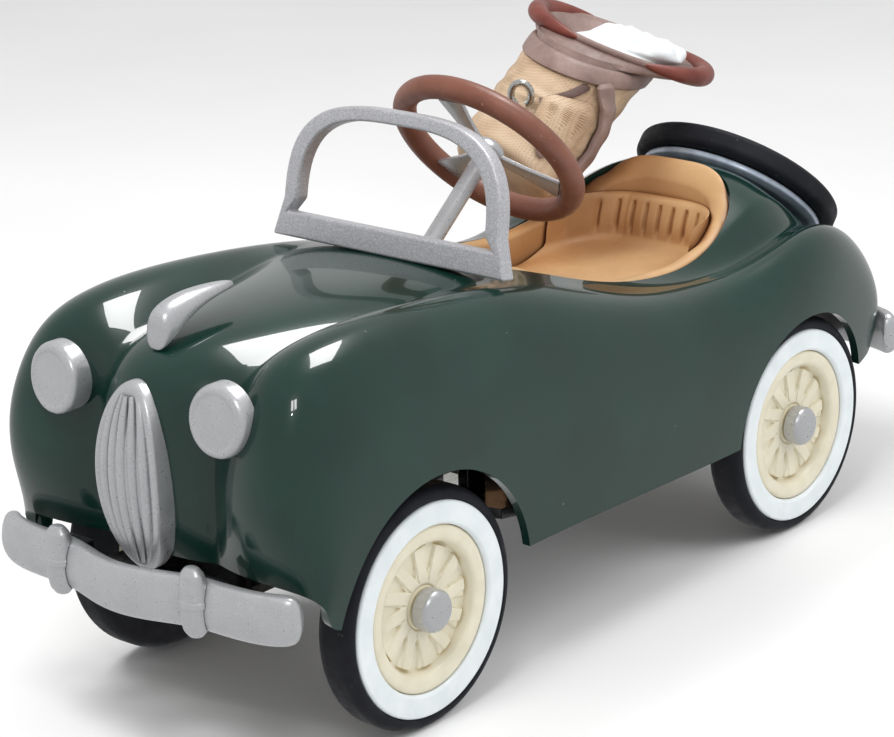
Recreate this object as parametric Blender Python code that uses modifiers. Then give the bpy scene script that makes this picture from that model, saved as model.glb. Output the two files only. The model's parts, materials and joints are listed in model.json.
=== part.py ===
"""A collectible miniature of a 1950s-style pedal roadster, with working steering, wheels and pedals.

Run with:  blender --background --python part.py
The car's nose points to -Y, its left side is +X, +Z is up, and it stands on the plane z = 0.
Lengths in this script are written in millimetres and become metres where an object is made.
"""
import math

import bmesh
import bpy
from mathutils import Matrix, Vector
from mathutils.bvhtree import BVHTree

MM = 0.001
MERGE = 1e-5                                    # metres

# ---------------------------------------------------------------- driving dimensions (mm)
WHEELBASE = 65.4
FRONT_AXLE_Y = -WHEELBASE / 2
REAR_AXLE_Y = WHEELBASE / 2
TYRE_R = 12.7
AXLE_Z = TYRE_R
WHEEL_X = 17.7                                  # centre plane of a road wheel
TYRE_HALF_WIDTH = 2.3
WHITEWALL_R = 11.24
RIM_R = 8.7
HUB_CAP_R = 2.25
AXLE_R = 0.85
BORE_R = 0.95
WHEEL_STEPS = 24

SKIN = 1.0                                      # thickness of the body shell
FRONT_ARCH_R = 14.6
REAR_ARCH_R = 13.4
COCKPIT_HALF_WIDTH = 12.95
COCKPIT_Y = (-12.6, 36.4)
COCKPIT_POWER = 3.4                             # squareness of the cockpit outline
TUB_GAP = 0.12                                  # between the tub and the edge of the opening
TUB_FLOOR_Z = 19.4

STEER_CENTRE = Vector((0, 2.0, 49.4))
STEER_AXIS = Vector((0, 0.783, 0.622)).normalized()
STEER_R = 10.3
STEER_TUBE_R = 1.3
COLUMN_R = 1.0

KINGPIN_X = 13.0
ARM_LENGTH = 5.5                                # steering arm, ahead of the kingpin
DROP_ARM = 2.36
PLATE_Z = (16.15, 17.3)                          # base plate, bottom and top

PEDAL_PIVOT = Vector((0, -14.0, 31.0))
PEDAL_X = 4.6
PEDAL_PIN_Z = 12.7
ROD_X = 3.5
CRANK_THROW = 2.2
CRANK_DISC_X = (4.7, 5.5)

FRAME_SHIFT_Y = -0.50                           # centres the car and its spare wheel on the origin
NOSE_LOW_Z = 21.3                               # just above the lower edge of the nose
BUMPER_END = Vector((19.7, 51.7, 18.4))         # rear bumper; the front one mirrors it
OVERRIDER_X = 9.3

SPARE_CENTRE = Vector((0, 48.4, 35.1))
SPARE_TILT = math.radians(41.3)                 # of the deck, from level
SPARE_FLATNESS = 0.66                           # the spare is moulded thinner than a road wheel

BAG_FOOT = Vector((-13.35, 20.0, 40.4))
BAG_AXIS = Vector((0.058, 0.827, 0.559))
BAG_FACING = Vector((0.604, -0.72, 0.34))       # the side that carries the pocket
BAG_MOUTH = Vector((-11.0, 40.4, 52.4))
BAG_MOUTH_NORMAL = Vector((0.279, 0.242, 0.930)).normalized()

# ---------------------------------------------------------------- materials
MATERIALS = {
    "green_paint": ((0.014, 0.036, 0.030), 0.12, 0.0),
    "silver_paint": ((0.46, 0.46, 0.48), 0.35, 0.6),
    "tan_plastic": ((0.52, 0.31, 0.12), 0.5, 0.0),
    "brown_plastic": ((0.23, 0.07, 0.045), 0.45, 0.0),
    "tyre_rubber": ((0.018, 0.018, 0.022), 0.55, 0.0),
    "white_rubber": ((0.72, 0.75, 0.76), 0.4, 0.0),
    "cream_plastic": ((0.66, 0.60, 0.40), 0.45, 0.0),
    "black_plastic": ((0.012, 0.012, 0.014), 0.2, 0.0),
    "steel": ((0.45, 0.46, 0.48), 0.3, 1.0),
    "bag_canvas": ((0.40, 0.30, 0.17), 0.7, 0.0),
    "bag_leather": ((0.25, 0.13, 0.10), 0.6, 0.0),
    "bag_red_leather": ((0.20, 0.045, 0.03), 0.5, 0.0),
    "towel_white": ((0.70, 0.72, 0.72), 0.8, 0.0),
}


def clear_scene():
    for old in list(bpy.data.objects):
        bpy.data.objects.remove(old, do_unlink=True)


def new_collection(name):
    collection = bpy.data.collections.new(name)
    bpy.context.scene.collection.children.link(collection)
    return collection


def make_material(name):
    colour, roughness, metallic = MATERIALS[name]
    material = bpy.data.materials.new(name)
    material.use_nodes = True
    shader = material.node_tree.nodes["Principled BSDF"]
    shader.inputs["Base Color"].default_value = (*colour, 1)
    shader.inputs["Roughness"].default_value = roughness
    shader.inputs["Metallic"].default_value = metallic
    return material


clear_scene()
PARTS = new_collection("pedal_car")
CUTTERS = new_collection("cutters")
PALETTE = {name: make_material(name) for name in MATERIALS}


# ---------------------------------------------------------------- small helpers
def mm(*xyz):
    """A point in metres from coordinates in millimetres."""
    if len(xyz) == 1:
        xyz = xyz[0]
    return Vector(xyz) * MM


def add(name, mesh, material, collection=None, smooth=40):
    obj = bpy.data.objects.new(name, mesh)
    (collection or PARTS).objects.link(obj)
    if material:
        mesh.materials.append(PALETTE[material])
    mesh.shade_smooth()
    mesh.set_sharp_from_angle(angle=math.radians(smooth))
    return obj


def finish_bmesh(bm, name):
    bmesh.ops.remove_doubles(bm, verts=bm.verts, dist=MERGE)
    bmesh.ops.recalc_face_normals(bm, faces=bm.faces)
    mesh = bpy.data.meshes.new(name)
    bm.to_mesh(mesh)
    bm.free()
    return mesh


def box(name, low, high, material, collection=None):
    low, high = mm(low), mm(high)
    bm = bmesh.new()
    bmesh.ops.create_cube(bm, size=1)
    bmesh.ops.scale(bm, vec=high - low, verts=bm.verts)
    bmesh.ops.translate(bm, vec=(low + high) / 2, verts=bm.verts)
    obj = add(name, finish_bmesh(bm, name), material, collection)
    return obj


def rod(name, start, end, radius, material, collection=None, segments=12, end_radius=None):
    """A round bar, or a cone where end_radius is given, between two points."""
    start, end = mm(start), mm(end)
    bm = bmesh.new()
    end_radius = radius if end_radius is None else end_radius
    bmesh.ops.create_cone(bm, cap_ends=True, segments=segments, radius1=radius * MM,
                          radius2=end_radius * MM, depth=(end - start).length)
    turn = (end - start).to_track_quat("Z", "Y").to_matrix().to_4x4()
    bm.transform(Matrix.Translation((start + end) / 2) @ turn)
    return add(name, finish_bmesh(bm, name), material, collection)


def boolean(obj, other, operation="DIFFERENCE"):
    modifier = obj.modifiers.new(operation.title(), "BOOLEAN")
    modifier.operation = operation
    modifier.solver = "EXACT"
    modifier.object = other
    other.hide_render = True
    other.display_type = "WIRE"
    return obj


def cutter_box(name, low, high):
    return box(name, low, high, None, CUTTERS)


def cutter_rod(name, start, end, radius, segments=24):
    return rod(name, start, end, radius, None, CUTTERS, segments)


def lathe(name, profile, material, steps=WHEEL_STEPS, smooth=40):
    """A turned piece round local Z. Profile points (radius, height) run down the outer side."""
    mesh = bpy.data.meshes.new(name)
    closed = profile[0][0] > 0 and profile[-1][0] > 0
    count = len(profile)
    edges = [(i, i + 1) for i in range(count - 1)]
    if closed:
        edges.append((count - 1, 0))
    mesh.from_pydata([(r * MM, 0, h * MM) for r, h in profile], edges, [])
    obj = add(name, mesh, material)
    screw = obj.modifiers.new("Turned", "SCREW")
    screw.steps = screw.render_steps = steps
    screw.use_merge_vertices = True
    screw.merge_threshold = MERGE
    screw.use_smooth_shade = True
    return obj


def baked(obj):
    """The object with its modifiers applied to its mesh."""
    depsgraph = bpy.context.evaluated_depsgraph_get()
    mesh = bpy.data.meshes.new_from_object(obj.evaluated_get(depsgraph))
    bm = bmesh.new()
    bm.from_mesh(mesh)
    bmesh.ops.remove_doubles(bm, verts=bm.verts, dist=MERGE)
    bm.to_mesh(mesh)
    bm.free()
    if obj.type == "CURVE":
        material = obj.data.materials[0].name if obj.data.materials else None
        name, place = obj.name, obj.matrix_world.copy()
        collection = obj.users_collection[0]
        bpy.data.objects.remove(obj, do_unlink=True)
        mesh.materials.clear()
        new = add(name, mesh, material, collection)
        new.matrix_world = place
        return new
    obj.modifiers.clear()
    obj.data = mesh
    return obj


def tube(name, points, radius, material, closed=False, resolution=2, sides=2, collection=None, radii=None):
    """A bent wire or rail through the points, made a mesh with welded caps."""
    curve = bpy.data.curves.new(name, "CURVE")
    curve.dimensions = "3D"
    spline = curve.splines.new("NURBS" if resolution > 1 else "POLY")
    spline.points.add(len(points) - 1)
    for i, point in enumerate(points):
        spline.points[i].co = (*mm(point), 1)
        spline.points[i].radius = radii[i] if radii else 1
    spline.use_cyclic_u = closed
    if resolution > 1:
        spline.order_u = 3
        spline.use_endpoint_u = not closed
    curve.resolution_u = resolution
    curve.bevel_depth = radius * MM
    curve.bevel_resolution = sides
    curve.use_fill_caps = not closed
    obj = bpy.data.objects.new(name, curve)
    (collection or PARTS).objects.link(obj)
    if material:
        curve.materials.append(PALETTE[material])
    bpy.context.view_layer.update()
    return baked(obj)


def loft(name, rings, material, closed_ring=True, cap_start=True, cap_end=True, collection=None):
    """A skin through rings of points; each ring has the same number of points."""
    bm = bmesh.new()
    rows = [[bm.verts.new(mm(p)) for p in ring] for ring in rings]
    count = len(rings[0])
    for low, high in zip(rows, rows[1:]):
        for i in range(count if closed_ring else count - 1):
            j = (i + 1) % count
            bm.faces.new((low[i], low[j], high[j], high[i]))
    if cap_start:
        bm.faces.new(rows[0][::-1])
    if cap_end:
        bm.faces.new(rows[-1])
    return add(name, finish_bmesh(bm, name), material, collection)


def smooth_step(value, low, high):
    t = min(max((value - low) / (high - low), 0), 1)
    return t * t * (3 - 2 * t)


def interpolate(table, value):
    """Smooth interpolation through (position, height) pairs in rising order of position."""
    if value <= table[0][0]:
        return table[0][1]
    for (a, low), (b, high) in zip(table, table[1:]):
        if value <= b:
            share = (smooth_step(value, a, b) + (value - a) / (b - a)) / 2
            return low + (high - low) * share
    return table[-1][1]


# ---------------------------------------------------------------- body shell
# The cage of the left half. Each station runs from the centre line out over the bonnet flank, the
# valley, the fender's inner flank, its crown and shoulder, and down the side to the bottom edge.
BODY_CAGE = [
    # lower edge of the nose, and round the corner to the front of the arch
    [(0, -51.0, 20.6), (4.5, -50.9, 20.6), (7.6, -49.9, 20.6), (10.8, -50.9, 20.7), (15, -51.2, 20.7),
     (18.6, -50.7, 20.5), (20.6, -49.6, 19.6), (21.0, -48.9, 18.2), (20.6, -48.4, 16.4)],
    [(0, -52.6, 27), (4.6, -52.4, 27), (7.7, -49.8, 27), (10.4, -52.2, 27.5), (15, -53.6, 28),
     (19.5, -52.8, 27.5), (21.3, -48.9, 25.5), (21.4, -47.6, 21.5), (20.7, -46.8, 15.8)],
    [(0, -53.0, 32.5), (4.8, -52.6, 32.5), (7.9, -49.6, 32.2), (10.3, -51.1, 33), (14.8, -52.5, 34.2),
     (19.3, -52.6, 33.4), (21.2, -47.6, 30.5), (21.5, -45.2, 24), (20.8, -44.4, 15.2)],
    [(0, -52.6, 38.4), (4.6, -51.8, 38.2), (8.1, -48.2, 37.0), (10.6, -48.8, 38.9), (14.6, -50.7, 40.4),
     (19.0, -49.4, 38.6), (21.0, -45.2, 34), (21.5, -41, 25), (20.9, -40, 14.8)],
    [(0, -48.6, 41.8), (4.4, -47.8, 41.3), (8.4, -44.6, 38.8), (11, -45.4, 41.4), (14.6, -46.2, 43.2),
     (18.7, -45, 41.2), (20.9, -41, 35.8), (21.5, -36.5, 25.6), (20.9, -36, 14.6)],
    [(0, -40, 42.4), (5.2, -39.6, 41.9), (9.0, -37.8, 39.8), (11.4, -37.4, 42.2), (14.6, -37.4, 43.9),
     (18.6, -36.6, 41.8), (20.8, -35, 36.2), (21.5, -32, 26.2), (20.9, -31, 14.8)],
    [(0, -28, 42.6), (6.8, -27.6, 42.1), (10.6, -26.8, 40.6), (12.6, -26.4, 41.9), (14.8, -26.2, 43.0),
     (18.2, -26, 40.8), (20.6, -26, 35.2), (21.3, -25.6, 26), (20.9, -25.4, 15.0)],
    [(0, -16, 41.8), (8, -16, 41.6), (12, -16, 41.3), (14, -16, 41.2), (15.8, -16, 41.2),
     (18.4, -16, 39.0), (20.3, -16, 33.6), (21.1, -16, 25.5), (20.8, -16, 15.0)],
    [(0, -7, 41.2), (8, -7, 41.0), (12.4, -7, 40.2), (14.2, -7, 39.6), (16.4, -7, 38.8),
     (18.9, -7, 36.8), (20.4, -7, 31.8), (21.1, -7, 24.5), (20.8, -7, 14.8)],
    [(0, 7, 38.0), (8, 7, 37.4), (12.5, 7, 35.0), (14.5, 7, 34.4), (16.7, 7, 34.2),
     (19.0, 7, 32.9), (20.5, 7, 29), (21.1, 7, 23), (20.8, 7, 14.3)],
    [(0, 20, 37.0), (8, 20, 36.0), (12.6, 20, 33.4), (14.6, 20, 32.6), (16.6, 20, 32.2),
     (19.0, 20, 31.3), (20.8, 20, 28.2), (21.3, 20, 22.5), (20.8, 20, 13.9)],
    [(0, 30, 40.0), (8, 30, 39.0), (12.7, 30, 35.6), (14.6, 30, 32.0), (17.0, 29.6, 33.8),
     (19.6, 29.4, 33.4), (21.3, 29, 29.6), (21.5, 29, 22.5), (20.8, 29, 14.2)],
    [(0, 38.4, 41.6), (7, 38.2, 41.2), (12, 37, 38.6), (14.2, 37, 33.2), (16.8, 37.6, 35.6),
     (19.6, 37.6, 34.2), (21.1, 37, 29.8), (21.2, 36, 22.5), (20.6, 35.4, 14.9)],
    [(0, 44, 36.4), (7, 43.8, 36.0), (11.6, 43.2, 34.4), (13.4, 43.4, 32.4), (15.9, 44.4, 34.3),
     (18.6, 44.2, 32.6), (20.2, 43.6, 28.2), (20.5, 42.0, 22), (20.1, 40.6, 15.6)],
    [(0, 50, 30.8), (7, 49.8, 30.4), (11.2, 49.2, 29.6), (12.8, 49.2, 29.0), (15.0, 50.3, 30.6),
     (17.5, 49.8, 29.0), (19.2, 48.8, 25.8), (19.7, 47.2, 21.2), (19.5, 45.4, 16.4)],
    [(0, 54.0, 26), (6.7, 53.8, 25.8), (10.8, 53.2, 25.3), (12.4, 53.1, 25.2), (14.5, 53.8, 25.8),
     (16.8, 53.2, 24.8), (18.4, 52.0, 22.8), (19.0, 50.2, 19.8), (19.0, 48.4, 17.0)],
    [(0, 54.2, 22.8), (6.5, 54.0, 22.8), (10.4, 53.6, 22.8), (12.2, 53.5, 22.6), (14.2, 53.6, 22.4),
     (16.3, 53.0, 21.8), (17.8, 51.8, 20.6), (18.5, 50.4, 19.0), (18.7, 49.2, 17.8)],
]
BODY_CREASES = {2: 0.55}                        # the valley between bonnet and fender keeps a tight bend


def cage_object(name, cage, levels, collection=None):
    """The half body from its cage, mirrored and subdivided, still an open skin."""
    bm = bmesh.new()
    rows = [[bm.verts.new(mm(p)) for p in station] for station in cage]
    crease = bm.edges.layers.float.new("crease_edge")
    for near, far in zip(rows, rows[1:]):
        for i in range(len(near) - 1):
            bm.faces.new((near[i], near[i + 1], far[i + 1], far[i]))
    for near, far in zip(rows, rows[1:]):
        for line, weight in BODY_CREASES.items():
            bm.edges.get((near[line], far[line]))[crease] = weight
    for row in rows:
        row[0].co.x = 0
    mesh = bpy.data.meshes.new(name)
    bm.to_mesh(mesh)
    bm.free()
    obj = add(name, mesh, "green_paint", collection)
    mirror = obj.modifiers.new("Both sides", "MIRROR")
    mirror.use_clip = True
    mirror.merge_threshold = MERGE
    smooth = obj.modifiers.new("Smooth", "SUBSURF")
    smooth.levels = smooth.render_levels = levels
    return obj


def skin_tree(obj):
    """The outer skin as a search tree, to seat trim on it."""
    depsgraph = bpy.context.evaluated_depsgraph_get()
    evaluated = obj.evaluated_get(depsgraph)
    bm = bmesh.new()
    bm.from_mesh(evaluated.to_mesh())
    tree = BVHTree.FromBMesh(bm)
    bm.free()
    return tree


def skin_z(x, y):
    """Height of the body's outer skin at a plan position, in millimetres."""
    hit = SKIN_TREE.ray_cast(mm(x, y, 100), Vector((0, 0, -1)))
    return hit[0].z / MM


def skin_front(x, z):
    """Where the outer skin is met going back from the nose, in millimetres of y."""
    hit = SKIN_TREE.ray_cast(mm(x, -100, z), Vector((0, 1, 0)))
    return hit[0].y / MM


def skin_cutter(name):
    """The body's skin, a little proud of it, to seat the pieces that stand on the body."""
    proud = 0.05
    cutter = cage_object(name, BODY_CAGE, 1, CUTTERS)
    solid = cutter.modifiers.new("Skin", "SOLIDIFY")
    solid.thickness = (SKIN + proud) * MM
    solid.offset = 2 * proud / (SKIN + proud) - 1
    return cutter


def cockpit_point(angle, inset):
    """A point of the cockpit's plan outline, a rounded rectangle moved in by inset."""
    half_length = (COCKPIT_Y[1] - COCKPIT_Y[0]) / 2 - inset
    half_width = COCKPIT_HALF_WIDTH - inset
    middle = (COCKPIT_Y[0] + COCKPIT_Y[1]) / 2
    c, s = math.cos(angle), math.sin(angle)
    x = math.copysign(abs(c) ** (2 / COCKPIT_POWER), c) * half_width
    y = math.copysign(abs(s) ** (2 / COCKPIT_POWER), s) * half_length + middle
    return x, y


def cockpit_ring(inset, height, count=48):
    """The outline as a ring of points; height is a function of x and y."""
    ring = []
    for i in range(count):
        x, y = cockpit_point(2 * math.pi * (i + 0.5) / count, inset)
        ring.append((x, y, height(x, y)))
    return ring


def make_body():
    body = cage_object("body_shell", BODY_CAGE, 1)
    global SKIN_TREE
    bpy.context.view_layer.update()
    SKIN_TREE = skin_tree(body)
    shell = body.modifiers.new("Thickness", "SOLIDIFY")
    shell.thickness = SKIN * MM
    shell.offset = -1
    for side in (-1, 1):
        for name, y, radius in (("front", FRONT_AXLE_Y, FRONT_ARCH_R), ("rear", REAR_AXLE_Y, REAR_ARCH_R)):
            arch = cutter_rod(f"arch_{name}_{side}", (side * 15, y, AXLE_Z), (side * 24, y, AXLE_Z), radius,
                              36)
            boolean(body, arch)
    opening = loft("cockpit_cutter", [cockpit_ring(0, lambda x, y: 22), cockpit_ring(0, lambda x, y: 50)],
                   None, collection=CUTTERS)
    boolean(body, opening)
    return body


# ---------------------------------------------------------------- cockpit
RIM_HEIGHTS = [(-12.6, 41.9), (-10, 41.3), (-6.5, 39.4), (-2.6, 37.4), (2, 35.7), (6.1, 34.8), (12, 33.8),
               (18.9, 33.4), (25, 34.0), (30.5, 35.6), (33.5, 37.6), (36.4, 40.6)]


def rim_z(x, y):
    return interpolate(RIM_HEIGHTS, y)


def column_point(distance):
    """A point on the steering column's axis, a distance down from the centre of the steering wheel."""
    return STEER_CENTRE - STEER_AXIS * distance


def make_tub():
    """The moulded cockpit lining: a rolled rim, walls and a floor, open below the cowl for the feet."""
    def at(drop):
        return lambda x, y: rim_z(x, y) - drop

    def level(z):
        return lambda x, y: z

    rings = [
        cockpit_ring(TUB_GAP, at(1.8)), cockpit_ring(TUB_GAP, at(0.1)),
        cockpit_ring(TUB_GAP + 0.35, at(-0.5)),
        cockpit_ring(TUB_GAP + 1.1, at(-0.6)), cockpit_ring(TUB_GAP + 1.8, at(0.0)),
        cockpit_ring(TUB_GAP + 1.9, at(1.6)), cockpit_ring(TUB_GAP + 1.9, level(TUB_FLOOR_Z + 1.6)),
        cockpit_ring(TUB_GAP + 3.6, level(TUB_FLOOR_Z)),
        cockpit_ring(TUB_GAP + 3.6, level(TUB_FLOOR_Z - 1.0)),
        cockpit_ring(TUB_GAP + 0.9, level(TUB_FLOOR_Z + 1.2)), cockpit_ring(TUB_GAP + 0.9, at(1.8)),
    ]
    bm = bmesh.new()
    rows = [[bm.verts.new(mm(p)) for p in ring] for ring in rings]
    count = len(rows[0])
    for n, row in enumerate(rows):
        if n == 7:                              # the floor's top and underside close the two rings here
            continue
        after = rows[(n + 1) % len(rows)]
        for i in range(count):
            j = (i + 1) % count
            bm.faces.new((row[i], row[j], after[j], after[i]))
    bm.faces.new(rows[7])
    bm.faces.new(rows[8][::-1])
    tub = add("interior_tub", finish_bmesh(bm, "interior_tub"), "tan_plastic")
    boolean(tub, cutter_box("footwell_cutter", (-9.2, -14, 19.7), (9.2, -7, 36)))
    boolean(tub, cutter_rod("column_hole_cutter", column_point(10), column_point(22), COLUMN_R + 0.5, 16))
    return tub


def make_seat():
    """The bench with its pleated back, one moulding dropped into the tub and following its walls."""
    bench_top, bench_front, low = 30.6, 15.0, TUB_FLOOR_Z + 0.1

    def level(z):
        return lambda x, y: z

    def back_y(x):
        """The foot of the seat back at a distance from the middle; it curls forward along the sides."""
        middle = sum(COCKPIT_Y) / 2
        reach = COCKPIT_Y[1] - middle - TUB_GAP - 2.0
        spread = min(abs(x) / (COCKPIT_HALF_WIDTH - TUB_GAP - 2.0), 1)
        return min(31.9, middle + reach * (1 - spread ** COCKPIT_POWER) ** (1 / COCKPIT_POWER) - 2.0)

    def outline(x):
        back = back_y(x)
        return [(x, bench_front + 1.8, low), (x, bench_front, bench_top - 2.0),
                (x, bench_front + 0.4, bench_top - 0.6),
                (x, bench_front + 1.6, bench_top), (x, back - 1.4, bench_top + 0.6),
                (x, back, bench_top + 1.3),
                (x, back + 1.1, 36.0), (x, back + 1.7, 36.6), (x, 36.0, 36.6), (x, 36.0, low)]

    half = [0, 2, 4, 6, 7.5, 8.6, 9.5, 10.1]
    rings = [outline(-x) for x in half[:0:-1]] + [outline(x) for x in half]
    seat = loft("seat_insert", rings, "tan_plastic")
    inside = [cockpit_ring(TUB_GAP + 3.7, level(TUB_FLOOR_Z + 0.06)),
              cockpit_ring(TUB_GAP + 2.0, level(TUB_FLOOR_Z + 1.66)), cockpit_ring(TUB_GAP + 2.0, level(44))]
    boolean(seat, loft("seat_space", inside, None, collection=CUTTERS), "INTERSECT")
    for n, x in enumerate((0, 1.9, 3.8, 5.7, 7.4, 8.9)):
        for side in ((1, -1) if x else (1,)):
            foot = back_y(x)
            boolean(seat, cutter_rod(f"pleat_cutter_{n}_{side}", (side * x, foot - 0.05, 32.4),
                                     (side * x, foot + 0.95, 35.8), 0.3, 8))
    return seat


# ---------------------------------------------------------------- chassis
def make_base_plate():
    """The black floor pressing: waisted for the wheels, open round the pedals, with bumper tabs."""
    low, high = PLATE_Z
    half = [(0, -50.0), (7.2, -50.0), (8.6, -47.0), (9.2, -18.0), (15.6, -16.4), (16.6, -14), (16.6, 17.0),
            (14.2, 18.8), (14.2, 44.5), (12.0, 50.0), (0, 51.0)]
    outline = [(x, y, 0) for x, y in half] + [(-x, y, 0) for x, y in half[-2:0:-1]]
    bottom = [(x, y, low) for x, y, z in outline]
    top = [(x, y, high) for x, y, z in outline]
    plate = loft("base_plate", [bottom, top], "black_plastic")
    boolean(plate, cutter_box("pedal_opening_cutter", (-7.6, -19.0, 15), (7.6, -9.0, 18)))
    boolean(plate, cutter_box("fork_slot_cutter", (-4.4, -40.4, 15), (4.4, -36.6, 18)))
    for side in (-1, 1):
        name = "left" if side > 0 else "right"
        upright = box(f"pedal_upright_{name}", (side * 9.6 - 0.7, -15.4, high - 0.4),
                      (side * 9.6 + 0.7, -12.6, PEDAL_PIVOT.z + 1.5), None, CUTTERS)
        boolean(plate, upright, "UNION")
        hole = cutter_rod(f"pivot_hole_cutter_{name}", (side * 8, PEDAL_PIVOT.y, PEDAL_PIVOT.z),
                          (side * 11, PEDAL_PIVOT.y, PEDAL_PIVOT.z), 0.68, 16)
        boolean(plate, hole)
        reach = bumper_bow(OVERRIDER_X + 1.5) - 1.15
        tabs = (("front", -reach, -49.0), ("rear", 50.0, reach))
        for end, start, stop in tabs:
            tab = box(f"bumper_tab_{end}_{name}", (side * OVERRIDER_X - 1.5, start, low + 0.2),
                      (side * OVERRIDER_X + 1.5, stop, high - 0.2), None, CUTTERS)
            boolean(plate, tab, "UNION")
            if end == "front":
                foot = box(f"bumper_foot_{name}", (side * OVERRIDER_X - 1.5, -reach, low + 0.2),
                           (side * OVERRIDER_X + 1.5, 0.8 - reach, 20.2), None, CUTTERS)
                boolean(plate, foot, "UNION")
                web = box(f"bumper_web_{name}", (side * 8.0 - 1.2, -50.4, low + 0.2),
                          (side * 8.0 + 1.2, -46.5, high - 0.2), None, CUTTERS)
                boolean(plate, web, "UNION")
    return plate


def make_front_axle():
    """The axle beam: a top bar with a web and a lower lug at each kingpin."""
    top, lug = 15.9, 9.3
    beam = box("front_axle_beam", (-14.3, FRONT_AXLE_Y - 1.5, top - 0.9), (14.3, FRONT_AXLE_Y + 1.5, top),
               "black_plastic")
    for side in (-1, 1):
        name = "left" if side > 0 else "right"
        web = box(f"axle_web_{name}", (min(side * 10.1, side * 11.2), FRONT_AXLE_Y - 1.5, lug),
                  (max(side * 10.1, side * 11.2), FRONT_AXLE_Y + 1.5, top - 0.5), None, CUTTERS)
        foot = box(f"axle_lug_{name}", (min(side * 10.6, side * 14.3), FRONT_AXLE_Y - 1.5, lug),
                   (max(side * 10.6, side * 14.3), FRONT_AXLE_Y + 1.5, lug + 0.9), None, CUTTERS)
        boolean(beam, web, "UNION")
        boolean(beam, foot, "UNION")
        hole = cutter_rod(f"kingpin_hole_cutter_{name}", (side * KINGPIN_X, FRONT_AXLE_Y, 8),
                          (side * KINGPIN_X, FRONT_AXLE_Y, 17), 0.56, 16)
        boolean(beam, hole)
    return beam


def make_kingpin(side, name):
    x = side * KINGPIN_X
    profile = [(0, 15.85), (0.48, 15.85), (0.48, 9.25), (0.8, 9.2), (0.8, 8.7), (0, 8.7)]
    pin = lathe(f"kingpin_{name}", profile, "steel", 12)
    pin.location = mm(x, FRONT_AXLE_Y, 0)
    return pin


def make_knuckle(side, name):
    """The steering knuckle: a block round the kingpin, the stub axle and the forward steering arm."""
    x = side * KINGPIN_X
    block = box(f"knuckle_{name}", (x - 1.1, FRONT_AXLE_Y - 1.1, 10.35), (x + 1.1, FRONT_AXLE_Y + 1.1, 14.85),
                "steel")
    stub = rod(f"stub_{name}", (x + side * 0.6, FRONT_AXLE_Y, AXLE_Z), (side * 18.8, FRONT_AXLE_Y, AXLE_Z),
               AXLE_R, None, CUTTERS, 16)
    arm_y = FRONT_AXLE_Y - ARM_LENGTH
    arm = box(f"steering_arm_{name}", (x - 0.7, arm_y - 0.7, 12.1), (x + 0.7, FRONT_AXLE_Y - 0.8, 13.1), None,
              CUTTERS)
    pin = rod(f"arm_pin_{name}", (x, arm_y, 12.6), (x, arm_y, 15.1), 0.45, None, CUTTERS, 12)
    for piece in (stub, arm, pin):
        boolean(block, piece, "UNION")
    hole = cutter_rod(f"knuckle_bore_cutter_{name}", (x, FRONT_AXLE_Y, 9), (x, FRONT_AXLE_Y, 16), 0.56, 16)
    boolean(block, hole)
    return block


def make_tie_rod():
    """The tie rod: a bar with a slotted pad at each end and a tall fork for the column's pin."""
    y, low, high = FRONT_AXLE_Y - ARM_LENGTH, 13.6, 14.7
    bar = box("tie_rod", (-11.8, y - 0.6, low), (11.8, y + 0.6, high), "steel")
    for side in (-1, 1):
        name = "left" if side > 0 else "right"
        pad = box(f"tie_pad_{name}", (side * KINGPIN_X - 1.3, y - 1.3, low),
                  (side * KINGPIN_X + 1.3, y + 1.5, high),
                  None, CUTTERS)
        boolean(bar, pad, "UNION")
        slot = cutter_box(f"tie_slot_cutter_{name}", (side * KINGPIN_X - 0.54, y - 2, low - 1),
                          (side * KINGPIN_X + 0.54, y + 0.85, high + 1))
        boolean(bar, slot)
        prong = box(f"fork_prong_{name}", (min(side * 0.53, side * 1.13), y - 0.6, low + 0.2),
                    (max(side * 0.53, side * 1.13), y + 0.2, 23.2), None, CUTTERS)
        boolean(bar, prong, "UNION")
    return bar


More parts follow.
